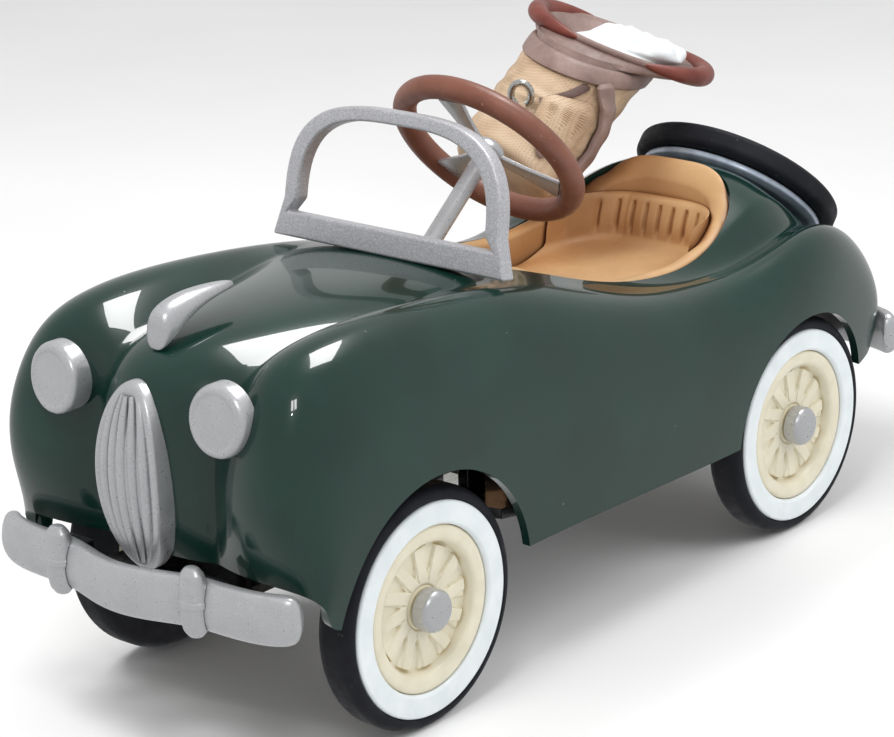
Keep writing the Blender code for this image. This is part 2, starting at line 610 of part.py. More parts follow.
def make_steering():
    """Rim, sprung spider and hub, and the column with its drop arm and pin."""
    across = STEER_AXIS.cross(Vector((1, 0, 0))).normalized()
    circle = 30
    rings = []
    for i in range(circle):
        a = 2 * math.pi * i / circle
        out = Vector((math.cos(a), 0, 0)) + across * math.sin(a)
        centre = STEER_CENTRE + out * STEER_R
        rings.append([centre + (out * math.cos(b) + STEER_AXIS * math.sin(b)) * STEER_TUBE_R
                      for b in (2 * math.pi * k / 8 for k in range(8))])
    bm = bmesh.new()
    rows = [[bm.verts.new(mm(p)) for p in ring] for ring in rings]
    for i in range(circle):
        here, after = rows[i], rows[(i + 1) % circle]
        for k in range(8):
            bm.faces.new((here[k], here[(k + 1) % 8], after[(k + 1) % 8], after[k]))
    add("steering_rim", finish_bmesh(bm, "steering_rim"), "brown_plastic")

    turn = STEER_AXIS.to_track_quat("Z", "X").to_matrix().to_4x4()
    hub = lathe("steering_spider", [(0, 0.9), (1.2, 0.75), (1.9, 0.2), (2.1, -0.6), (1.5, -1.2), (0, -1.2)],
                "silver_paint", 20)
    hub = baked(hub)
    hub.matrix_world = Matrix.Translation(mm(STEER_CENTRE)) @ turn
    reach = STEER_R - STEER_TUBE_R - 0.25
    for n, angle in enumerate((90, 210, 330)):
        a = math.radians(angle)
        out = (Vector((math.cos(a), 0, 0)) - across * math.sin(a)).normalized()
        side = STEER_AXIS.cross(out)
        outline = [out * 0.6 - side * 1.0, out * 0.6 + side * 1.0, out * 3 + side * 0.95,
                   out * reach + side * 1.5,
                   out * reach - side * 1.5, out * 3 - side * 0.95]
        rings = [[STEER_CENTRE + p + STEER_AXIS * h for p in outline] for h in (-0.75, -0.1)]
        spoke = loft(f"spoke_{n}", rings, None, collection=CUTTERS)
        boolean(hub, spoke, "UNION")
    end = 48.7
    column = rod("steering_column", column_point(1.35), column_point(end), COLUMN_R, "silver_paint",
                 segments=12)
    up = Vector((0, -STEER_AXIS.z, STEER_AXIS.y))
    tip = column_point(end - 0.6) + up * DROP_ARM
    arm = rod("drop_arm", column_point(end - 0.6) + up * 0.3, tip + up * 0.35, 0.6, None, CUTTERS, 12)
    pin = rod("drop_pin", tip, tip - STEER_AXIS * 2.1, 0.45, None, CUTTERS, 12)
    boolean(column, arm, "UNION")
    boolean(column, pin, "UNION")


def make_column_bracket():
    """The post that carries the column, a ring on a stalk from the base plate."""
    centre = column_point(33)
    turn = STEER_AXIS.to_track_quat("Z", "X").to_matrix().to_4x4()
    ring = lathe("column_bracket", [(1.9, 1.0), (1.9, -1.0), (COLUMN_R + 0.12, -1.0), (COLUMN_R + 0.12, 1.0)],
                 "black_plastic", 20)
    ring = baked(ring)
    ring.matrix_world = Matrix.Translation(mm(centre)) @ turn
    foot = box("bracket_post", (-0.9, centre.y - 0.2, PLATE_Z[1] + 0.1),
               (0.9, centre.y + 1.2, centre.z - 1.4),
               None, CUTTERS)
    boolean(ring, foot, "UNION")
    boolean(ring, cutter_rod("bracket_bore_cutter", column_point(28), column_point(38), COLUMN_R + 0.1, 20))
    return ring


def make_pedals():
    """The pivot rod, and for each side a swinging pedal and its drive rod."""
    rod("pedal_pivot_rod", (-11.4, PEDAL_PIVOT.y, PEDAL_PIVOT.z), (11.4, PEDAL_PIVOT.y, PEDAL_PIVOT.z), 0.6,
        "steel", segments=12)
    for side, name, pin_z in ((1, "left", AXLE_Z + CRANK_THROW), (-1, "right", AXLE_Z - CRANK_THROW)):
        x, y = side * PEDAL_X, PEDAL_PIVOT.y
        pedal = box(f"pedal_{name}", (x - 0.5, y - 0.7, PEDAL_PIN_Z - 0.9),
                    (x + 0.5, y + 0.7, PEDAL_PIVOT.z + 1.3),
                    "black_plastic")
        pad = box(f"pedal_pad_{name}", (x - 2.3, y + 0.4, 20.4), (x + 2.3, y + 1.4, 25.4), None, CUTTERS)
        boolean(pedal, pad, "UNION")
        pin = rod(f"pedal_pin_{name}", (x, y, PEDAL_PIN_Z), (side * (ROD_X - 0.75), y, PEDAL_PIN_Z), 0.45,
                  None,
                  CUTTERS, 12)
        boolean(pedal, pin, "UNION")
        hole = cutter_rod(f"pedal_bore_cutter_{name}", (x - 2, y, PEDAL_PIVOT.z), (x + 2, y, PEDAL_PIVOT.z),
                          0.68, 16)
        boolean(pedal, hole)

        centre = side * ROD_X
        start, stop = Vector((centre, y, PEDAL_PIN_Z)), Vector((centre, REAR_AXLE_Y, pin_z))
        along = (stop - start).normalized()
        up = Vector((0, -along.z, along.y))
        rings = []
        for x_side in (-0.45, 0.45):
            outline = []
            for point, turn_from in ((start, 90), (stop, -90)):
                for k in range(7):
                    a = math.radians(turn_from + k * 30)
                    outline.append(point + along * math.cos(a) * 0.95 + up * math.sin(a) * 0.95)
            rings.append([p + Vector((x_side, 0, 0)) for p in outline])
        drive = loft(f"drive_rod_{name}", rings, "steel")
        bore = cutter_rod(f"rod_bore_cutter_{name}", start - Vector((2, 0, 0)), start + Vector((2, 0, 0)),
                          0.55, 16)
        boolean(drive, bore)
        eye = cutter_rod(f"rod_eye_cutter_{name}", stop - Vector((2, 0, 0)), stop + Vector((2, 0, 0)), 0.5,
                         16)
        boolean(drive, eye)


def make_rear_axle():
    """The cranked rear axle and the two blocks that it runs in."""
    y = REAR_AXLE_Y
    axle = rod("crank_axle", (-18.8, y, AXLE_Z), (18.8, y, AXLE_Z), AXLE_R, "steel", segments=16)
    near, far = CRANK_DISC_X
    for side, name in ((1, "left"), (-1, "right")):
        disc = rod(f"crank_disc_{name}", (side * near, y, AXLE_Z), (side * far, y, AXLE_Z), 3.1, None,
                   CUTTERS, 24)
        pin_z = AXLE_Z + side * CRANK_THROW
        pin = rod(f"crank_pin_{name}", (side * (ROD_X + 0.55), y, pin_z), (side * (near + 0.3), y, pin_z),
                  0.45, None,
                  CUTTERS, 12)
        boolean(axle, disc, "UNION")
        boolean(axle, pin, "UNION")
        block = box(f"axle_block_{name}", (side * 11.6 - 1.0, y - 1.8, 10.6),
                    (side * 11.6 + 1.0, y + 1.8, 15.9),
                    "black_plastic")
        hole = cutter_rod(f"block_bore_cutter_{name}", (side * 9, y, AXLE_Z), (side * 14, y, AXLE_Z),
                          BORE_R, 16)
        boolean(block, hole)


# ---------------------------------------------------------------- wheels
def wheel_profiles():
    """Profiles (radius, distance outward from the wheel's centre plane) of the four pieces."""
    w = TYRE_HALF_WIDTH
    tyre = [(WHITEWALL_R + 0.06, w - 0.1), (12.2, w - 0.25), (TYRE_R, w - 1.0), (TYRE_R, -w + 1.0),
            (12.1, -w + 0.15), (RIM_R + 0.35, -w), (RIM_R + 0.06, -w + 0.35), (RIM_R + 0.06, w - 0.95),
            (WHITEWALL_R + 0.06, w - 0.95)]
    whitewall = [(RIM_R + 0.3, w), (WHITEWALL_R - 0.25, w), (WHITEWALL_R, w - 0.2), (WHITEWALL_R, w - 0.9),
                 (RIM_R + 0.06, w - 0.9), (RIM_R + 0.06, w - 0.25)]
    wheel = [(BORE_R, 1.15), (2.9, 1.15), (6.5, 0.95), (6.9, 1.95), (8.2, 2.1), (RIM_R, 1.9), (RIM_R, -1.9),
             (8.0, -1.9), (7.6, -0.3), (2.4, -0.3), (2.2, -2.3), (BORE_R, -2.3)]
    cap = [(0, 3.3), (0.9, 3.2), (1.7, 2.8), (HUB_CAP_R, 2.1), (HUB_CAP_R, 1.21), (0, 1.21)]
    return (("tyre", tyre, "tyre_rubber", WHEEL_STEPS), ("whitewall", whitewall, "white_rubber", WHEEL_STEPS),
            ("spoked_wheel", wheel, "cream_plastic", WHEEL_STEPS), ("hub_cap", cap, "silver_paint", 16))


def make_wheel(prefix, matrix):
    """One wheel in four pieces; matrix takes local Z, the outward direction, to its place."""
    for piece, profile, material, steps in wheel_profiles():
        obj = baked(lathe(f"{prefix}_{piece}", profile, material, steps))
        obj.matrix_world = matrix


def road_wheel_matrix(side, y):
    outward = Vector((side, 0, 0)).to_track_quat("Z", "Y").to_matrix().to_4x4()
    return Matrix.Translation(mm(side * WHEEL_X, y, AXLE_Z)) @ outward


def make_spare():
    """The spare wheel on its light ring, lying on the sloping rear deck."""
    tilt = Matrix.Rotation(-SPARE_TILT, 4, "X")
    place = Matrix.Translation(mm(SPARE_CENTRE)) @ tilt
    make_wheel("spare", place @ Matrix.Diagonal((1, 1, SPARE_FLATNESS, 1)))
    under = -TYRE_HALF_WIDTH * SPARE_FLATNESS - 0.06
    profile = [(9.0, under), (WHITEWALL_R + 0.2, under), (WHITEWALL_R + 0.25, under - 0.7),
               (10.6, under - 1.1),
               (9.0, under - 1.1)]
    ring = baked(lathe("spare_seat_ring", profile, "silver_paint", WHEEL_STEPS))
    ring.matrix_world = place
    boolean(ring, skin_cutter("deck_seat"))


# ---------------------------------------------------------------- trim
def bumper_bow(x):
    """How far out the bar's centre line stands at x; it bows, more so between the guards."""
    whole = 1 - (x / BUMPER_END.x) ** 8
    between = math.cos(math.pi * x / 21) ** 2 if abs(x) < 10.5 else 0
    return BUMPER_END.y + 2.1 * whole + 2.0 * between


def bumper_rings(sign, grow=0.0):
    """Cross-sections of the bar from side to side; sign is -1 at the nose and 1 at the tail."""
    stations = 17
    section = [(0.35, 2.75), (1.1, 2.3), (1.55, 0.9), (1.7, -0.6), (1.35, -2.0), (0.5, -2.75), (-0.7, -2.4),
               (-0.95, 0), (-0.7, 2.4)]
    rings = []
    for i in range(stations):
        t = -1 + 2 * i / (stations - 1)
        end = abs(t)
        x = BUMPER_END.x * math.sin(t * math.pi / 2)
        centre = Vector((x, bumper_bow(x) - 0.6 * end ** 12, BUMPER_END.z))
        turn = math.atan2(bumper_bow(x + 0.1) - bumper_bow(x - 0.1), 0.2)
        shrink = 1 - end ** 14 * 0.7
        outward = Vector((-math.sin(turn), math.cos(turn), 0))
        ring = []
        for a, b in section:
            a, b = a + math.copysign(grow, a), b + math.copysign(grow, b)
            point = centre + outward * (a * shrink) + Vector((0, 0, b * shrink))
            ring.append((point.x, sign * point.y, point.z))
        rings.append(ring)
    return rings


def make_bumper(end, sign):
    """A D-section bar, bowed outward and wrapping back at its ends, with its two upright guards."""
    loft(f"{end}_bumper", bumper_rings(sign), "silver_paint")
    for side, name in ((1, "left"), (-1, "right")):
        profile = [(0, 3.75), (0.75, 3.55), (1.3, 2.9), (1.58, 1.6), (1.62, 0.35), (1.78, 0.3), (1.78, -0.3),
                   (1.62, -0.35), (1.58, -1.6), (1.3, -2.9), (0.75, -3.55), (0, -3.75)]
        guard = baked(lathe(f"{end}_overrider_{name}", profile, "silver_paint", 14))
        guard.data.transform(Matrix.Diagonal((1, 0.8, 1, 1)))
        guard.location = mm(side * OVERRIDER_X, sign * (bumper_bow(OVERRIDER_X) + 1.3), BUMPER_END.z + 0.5)
        clasp = loft(f"{end}_clasp_cutter_{name}", bumper_rings(sign, 0.06), None, collection=CUTTERS)
        boolean(guard, clasp)


def make_grille():
    """The tall oval grille: a rim and a bowed face; its back follows the nose of the body."""
    half_width, half_height, middle = 4.25, 9.75, 28.8
    rings = []
    count = 22
    for inset, forward in ((2.6, None), (0.9, None), (0, None), (0, 0.15), (0.35, 0.5), (0.8, 0.35),
                           (1.1, 0.2),
                           (2.4, 0.7), (3.8, 0.9)):
        ring = []
        for k in range(count):
            a = 2 * math.pi * k / count
            x = math.cos(a) * (half_width - inset)
            dz = math.sin(a) * (half_height - inset * 1.6)
            edge = skin_front(math.cos(a) * half_width, max(middle + math.sin(a) * half_height, NOSE_LOW_Z))
            here = skin_front(x, max(middle + dz, NOSE_LOW_Z))
            bow = -52.2 - 1.7 * (1 - (dz / half_height) ** 2)
            sunk = 0.35 * smooth_step(middle + dz, 24.2, 25.6) - 0.06
            y = here + sunk if forward is None else min(bow - forward, here - 0.3, edge - 0.1 - forward)
            ring.append((x, y, middle + dz))
        rings.append(ring)
    grille = loft("grille", rings, "silver_paint")
    boolean(grille, skin_cutter("grille_seat"))
    for n in range(-2, 3):
        points = []
        for z in (-8.2, -6.6, -3.6, 0, 3.6, 6.6, 8.2):
            x = n * 1.34 * math.sqrt(1 - (z / 9.4) ** 2)
            points.append((x, -52.9 - 1.7 * (1 - (z / half_height) ** 2) + abs(n) * 0.2, middle + z))
        boolean(grille, tube(f"grille_rib_{n}", points, 0.4, None, resolution=2, sides=1, collection=CUTTERS),
                "UNION")
    return grille


def make_headlamp(side, name):
    """A shallow domed lamp with a rounded bezel; its back follows the body's skin."""
    centre_x, centre_z, face = 11.15, 36.7, -52.0
    count = 24
    rings = []
    for radius, depth in ((0.6, None), (1.8, None), (3.0, None), (3.7, None), (3.8, 0.0), (3.65, 0.55),
                          (3.2, 0.8),
                          (2.9, 0.8), (2.0, 1.15), (0.8, 1.35)):
        ring = []
        for k in range(count):
            a = 2 * math.pi * k / count
            x, z = centre_x + math.cos(a) * radius * 0.95, centre_z + math.sin(a) * radius
            plane = face + 0.10 * (z - centre_z) + 0.06 * (x - centre_x)
            y = min(skin_front(x, z), face + 1.2) + 0.35 if depth is None else plane - depth
            ring.append((side * x, y, z))
        rings.append(ring)
    lamp = loft(f"headlamp_{name}", rings, "silver_paint")
    return boolean(lamp, skin_cutter(f"headlamp_seat_{name}"))


def make_mascot():
    """The streamlined bonnet ornament: blunt and seated in front, its tapering tail lifted clear."""
    profile = ((-49.1, 0.9, 43.6, 0.0), (-48.9, 1.4, 44.5, 0.0), (-48.2, 1.75, 45.2, 0.1),
               (-46.8, 1.8, 45.6, 0.7),
               (-45.0, 1.7, 45.8, 1.4), (-43.0, 1.45, 45.75, 1.85), (-41.0, 1.15, 45.6, 2.05),
               (-39.4, 0.8, 45.4, 2.1),
               (-38.4, 0.5, 45.15, 2.15), (-38.0, 0.22, 44.95, 2.2))
    rings = []
    for y, width, top, lift in profile:
        base = max(skin_z(0, y), skin_z(width, y)) + 0.08 + lift
        height = top - base
        rings.append([(-width * 0.8, y, base), (-width, y, base + height * 0.3),
                      (-width * 0.72, y, base + height * 0.8),
                      (0, y, top), (width * 0.72, y, base + height * 0.8), (width, y, base + height * 0.3),
                      (width * 0.8, y, base)])
    return loft("hood_mascot", rings, "silver_paint")


def make_windshield():
    """The flat, open D-shaped frame, raked back, with a deep bottom bar."""
    rake = math.radians(11)
    half_base, height, thick = 16.0, 15.2, 1.9
    base = Vector((0, -15.5, 41.75))
    up = Vector((0, math.sin(rake), math.cos(rake)))
    back = Vector((0, math.cos(rake), -math.sin(rake)))

    def arch(inset, bottom):
        points = [(half_base - inset, bottom)]
        for k in range(13):
            a = math.pi * k / 12
            c, s = math.cos(a), math.sin(a)
            x = math.copysign(abs(c) ** 0.62, c) * (half_base - 1.2 - inset)
            z = 4.2 + (height - 4.2 - inset * 0.8) * abs(s) ** 0.72
            points.append((x, z))
        points.append((-(half_base - inset), bottom))
        return points

    def place(points, depth):
        return [base + Vector((x, 0, 0)) + up * z + back * depth for x, z in points]

    outer = arch(0, 0)
    frame = loft("windshield_frame", [place(outer, 0), place(outer, thick)], "silver_paint")
    inner = arch(2.0, 3.3)
    opening = loft("windshield_cutter", [place(inner, -2), place(inner, thick + 2)], None, collection=CUTTERS)
    boolean(frame, opening)
    boolean(frame, skin_cutter("windshield_seat"))
    return frame


# ---------------------------------------------------------------- golf bag
def bag_frame():
    """The bag's own directions: along it, across it, and the way that its pocket faces."""
    along = BAG_AXIS.normalized()
    facing = (BAG_FACING - along * BAG_FACING.dot(along)).normalized()
    return along, facing.cross(along).normalized(), facing


def bag_point(angle, distance, radius, slant=0.0):
    """A point round the bag; slant turns the section from square-cut to the plane of the mouth."""
    along, across, facing = bag_frame()
    out = across * math.cos(angle) + facing * math.sin(angle)
    slide = -out.dot(BAG_MOUTH_NORMAL) / along.dot(BAG_MOUTH_NORMAL)
    return BAG_FOOT + along * (distance + slide * radius * slant) + out * radius


def bag_section(distance, radius, slant=0.0, count=20):
    return [bag_point(2 * math.pi * k / count, distance, radius, slant) for k in range(count)]


def mouth_section(scale, height, count=20, drift=0.0):
    """A ring in the plane of the mouth; the mouth is drawn out to the near and rear side."""
    along, across, facing = bag_frame()
    long = (across - BAG_MOUTH_NORMAL * across.dot(BAG_MOUTH_NORMAL)).normalized()
    wide = BAG_MOUTH_NORMAL.cross(long)
    if wide.dot(facing) < 0:
        wide = -wide
    centre = BAG_MOUTH + BAG_MOUTH_NORMAL * height + long * drift
    return [centre + long * math.cos(a) * 10.7 * scale + wide * math.sin(a) * 8.6 * scale
            for a in (2 * math.pi * k / count for k in range(count))]


def ring_piece(name, rings, material):
    """A closed band through rings of points, the last joined back to the first."""
    bm = bmesh.new()
    rows = [[bm.verts.new(mm(p)) for p in ring] for ring in rings]
    count = len(rings[0])
    for n, row in enumerate(rows):
        after = rows[(n + 1) % len(rows)]
        for i in range(count):
            j = (i + 1) % count
            bm.faces.new((row[i], row[j], after[j], after[i]))
    return add(name, finish_bmesh(bm, name), material)


def bag_patch(name, stations, material):
    """A padded piece on the bag's side; stations give distance, middle angle, half-width and thickness."""
    rings = []
    for distance, middle, half, thick in stations:
        inner = []
        outer = []
        for k in (-1, -0.6, -0.2, 0.2, 0.6, 1):
            angle = math.radians(middle) + k * half / 6.4
            swell = thick * (1 - 0.35 * k * k)
            inner.append(bag_point(angle, distance, bag_radius(distance) + 0.15, bag_slant(distance)))
            outer.append(bag_point(angle, distance, bag_radius(distance) + 0.15 + swell, bag_slant(distance)))
        rings.append(inner + outer[::-1])
    return loft(name, rings, material)


def bag_radius(distance):
    return interpolate([(0, 6.3), (3, 6.6), (10, 6.9), (23, 6.9)], distance)


def bag_slant(distance):
    return smooth_step(distance, 4, 17)


def make_bag():
    """The bag's body, flared rim, pocket, shoulder strap, hanging eye and the towel in its mouth."""
    top = 20.4
    outside = [bag_section(0, 5.6), bag_section(0.25, 6.15), bag_section(0.9, bag_radius(0.9))]
    outside += [bag_section(d, bag_radius(d), bag_slant(d)) for d in (4, 8, 12, 16.5, top)]
    inside = [bag_section(top, 6.0, 1), bag_section(top - 4, 5.5, 1)]
    loft("bag_body", outside + inside, "bag_canvas")

    rim = [bag_section(top + 0.12, 6.9, 1, 24), bag_section(top + 1.2, 7.2, 1, 24),
           mouth_section(0.93, -1.1, 24),
           mouth_section(1.0, -0.3, 24), mouth_section(1.0, 0.3, 24), mouth_section(0.95, 0.5, 24),
           mouth_section(0.85, -0.1, 24), bag_section(top + 0.12, 6.1, 1, 24)]
    ring_piece("bag_rim", rim, "bag_red_leather")

    bag_patch("bag_pocket", ((3.0, 112, 1.5, 0.5), (3.8, 112, 2.3, 0.9), (7.0, 110, 2.8, 1.2),
                             (11.0, 108, 2.8, 1.2),
                             (14.2, 104, 2.3, 0.9), (15.0, 104, 1.5, 0.5)), "bag_canvas")
    bag_patch("bag_strap", ((1.4, 160, 0.8, 0.7), (4.0, 160, 0.9, 1.1), (8.0, 156, 0.9, 1.5),
                            (12.0, 150, 0.9, 1.5),
                            (15.5, 144, 0.9, 1.2), (18.4, 140, 0.8, 0.7)), "bag_leather")

    folds = ((0.50, 0.3, 1.2, 0.1), (0.52, 0.8, 2.2, 0.4), (0.50, 1.4, 2.9, 1), (0.38, 2.0, 3.4, 1),
             (0.22, 2.3, 3.8, 1), (0.07, 2.4, 3.8, 0.5))
    rings = [bag_section(top - 3.9, 5.1, 1, 16), bag_section(top + 0.1, 5.6, 1, 16)]
    for scale, height, drift, crumple in folds:
        flat = mouth_section(scale, height, 16, drift)
        middle = sum((Vector(p) for p in flat), Vector()) / len(flat)
        ring = []
        for k, point in enumerate(flat):
            a = 2 * math.pi * k / 16
            grow = 1 + crumple * (0.10 * math.sin(3 * a + height) + 0.05 * math.sin(5 * a + 1.3 * height))
            ring.append(middle + (point - middle) * grow)
        rings.append(ring)
    loft("bag_towel", rings, "towel_white")

    foot, lift = 6.0, 1.6
    angle = math.radians(68)
    base = bag_point(angle, foot, bag_radius(foot), bag_slant(foot))
    along, across, facing = bag_frame()
    out = across * math.cos(angle) + facing * math.sin(angle)
    points = [base + out * (lift + math.sin(a) * 1.3) + along * math.cos(a) * 1.3
              for a in (math.radians(-52 + 284 * k / 12) for k in range(13))]
    tube("hanging_eye", points, 0.4, "steel", resolution=1, sides=1)


def move_origin(name, point):
    """Put an object's origin at the point, leaving its mesh where it is."""
    obj = bpy.data.objects[name]
    shift = Vector(point) * MM - obj.location
    obj.data.transform(Matrix.Translation(-shift))
    obj.location += shift


def set_joint_origins():
    for name in ("steering_rim", "steering_spider", "steering_column"):
        move_origin(name, STEER_CENTRE)
    move_origin("tie_rod", (0, FRONT_AXLE_Y - ARM_LENGTH, AXLE_Z))
    move_origin("crank_axle", (0, REAR_AXLE_Y, AXLE_Z))
    for side, name in ((1, "left"), (-1, "right")):
        move_origin(f"knuckle_{name}", (side * KINGPIN_X, FRONT_AXLE_Y, AXLE_Z))
        move_origin(f"pedal_{name}", (side * PEDAL_X, PEDAL_PIVOT.y, PEDAL_PIVOT.z))
        move_origin(f"drive_rod_{name}", (side * ROD_X, PEDAL_PIVOT.y, PEDAL_PIN_Z))


def main():
    make_body()
    make_tub()
    make_seat()
    make_base_plate()
    make_front_axle()
    for side, name in ((1, "left"), (-1, "right")):
        make_kingpin(side, name)
        make_knuckle(side, name)
        make_wheel(f"front_{name}", road_wheel_matrix(side, FRONT_AXLE_Y))
        make_wheel(f"rear_{name}", road_wheel_matrix(side, REAR_AXLE_Y))
        make_headlamp(side, name)
    make_tie_rod()
    make_steering()
    make_column_bracket()
    make_pedals()
    make_rear_axle()
    make_spare()
    make_bumper("front", -1)
    make_bumper("rear", 1)
    make_grille()
    make_mascot()
    make_windshield()
    make_bag()
    set_joint_origins()
    bpy.context.view_layer.update()
    for obj in [*PARTS.objects, *CUTTERS.objects]:
        obj.location.y += FRAME_SHIFT_Y * MM


main()
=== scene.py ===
"""Looks of the pedal-roadster miniature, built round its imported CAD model.

The nose points to -Y, the car's left side is +X. Lengths are written in millimetres, counted in y from the
middle of the wheelbase, and mm() turns them into the frame's metres.
"""
import math

import bmesh
import bpy
from mathutils import Matrix, Vector, noise
from mathutils.bvhtree import BVHTree
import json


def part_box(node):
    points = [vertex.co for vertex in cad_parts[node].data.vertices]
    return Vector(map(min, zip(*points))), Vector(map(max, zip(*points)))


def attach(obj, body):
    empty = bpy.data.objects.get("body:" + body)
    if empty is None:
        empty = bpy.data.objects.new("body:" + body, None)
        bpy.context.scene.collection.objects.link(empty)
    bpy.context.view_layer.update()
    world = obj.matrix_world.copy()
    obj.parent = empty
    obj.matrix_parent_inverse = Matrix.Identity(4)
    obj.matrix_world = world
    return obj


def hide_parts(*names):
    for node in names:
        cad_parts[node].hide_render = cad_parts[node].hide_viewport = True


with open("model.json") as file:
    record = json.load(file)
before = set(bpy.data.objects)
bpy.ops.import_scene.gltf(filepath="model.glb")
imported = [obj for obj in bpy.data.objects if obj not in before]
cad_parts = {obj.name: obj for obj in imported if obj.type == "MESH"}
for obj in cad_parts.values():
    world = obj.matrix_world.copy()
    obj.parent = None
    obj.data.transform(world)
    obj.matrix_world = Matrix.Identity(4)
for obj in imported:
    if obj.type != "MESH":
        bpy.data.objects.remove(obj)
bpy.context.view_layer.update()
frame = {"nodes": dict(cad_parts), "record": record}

MM = 0.001
WELD = 1e-6                                     # metres


def centre_of(node):
    low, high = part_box(node)
    return (low + high) / 2


# ---------------------------------------------------------------- driving dimensions, from the frame
FRONT_WHEEL = centre_of("front_left_tyre")
REAR_WHEEL = centre_of("rear_left_tyre")
ORIGIN_Y = (FRONT_WHEEL.y + REAR_WHEEL.y) / 2   # metres
HALF_BASE = (REAR_WHEEL.y - FRONT_WHEEL.y) / 2 / MM
AXLE_Z = FRONT_WHEEL.z / MM
TYRE_R = AXLE_Z
WHEEL_X = FRONT_WHEEL.x / MM
TYRE_HALF_WIDTH = 2.3
WHITEWALL_R = 11.24
RIM_R = 8.7
BORE_R = 0.95
SPOKE_R = 6.55                                  # outer end of the moulded spokes
HUB_CAP_R = 2.25

SKIN = 1.0
FRONT_ARCH_R = 14.6
REAR_ARCH_R = 13.4
COCKPIT_HALF_WIDTH = 12.95
COCKPIT_Y = (-12.6, 36.4)
COCKPIT_POWER = 3.4
TUB_GAP = 0.12
TUB_FLOOR_Z = 19.4

STEER_AXIS = Vector((0, 0.783, 0.622)).normalized()
STEER_CENTRE = Vector((0, 2.0, 49.4))
STEER_R = 10.3
STEER_TUBE_R = 1.3
COLUMN_R = 1.0

BUMPER_END = Vector((19.7, 51.7, 18.4))
OVERRIDER_X = 9.3
NOSE_LOW_Z = 21.3

SPARE_CENTRE = Vector((0, 48.4, 35.1))
SPARE_TILT = math.radians(41.3)
SPARE_FLATNESS = 0.66

BAG_FOOT = Vector((-13.35, 20.0, 40.4))
BAG_AXIS = Vector((0.058, 0.827, 0.559))
BAG_FACING = Vector((0.604, -0.72, 0.34))
BAG_MOUTH = Vector((-11.0, 40.4, 52.4))
BAG_MOUTH_NORMAL = Vector((0.279, 0.242, 0.930)).normalized()
BAG_TOP = 20.4


# ---------------------------------------------------------------- node materials
def srgb(red, green, blue):
    """A linear colour from a display colour in steps of 1/255."""
    channels = (c / 255 for c in (red, green, blue))
    return tuple(c / 12.92 if c <= 0.04045 else ((c + 0.055) / 1.055) ** 2.4 for c in channels) + (1,)


WHITE = srgb(255, 255, 255)
BLACK = srgb(0, 0, 0)


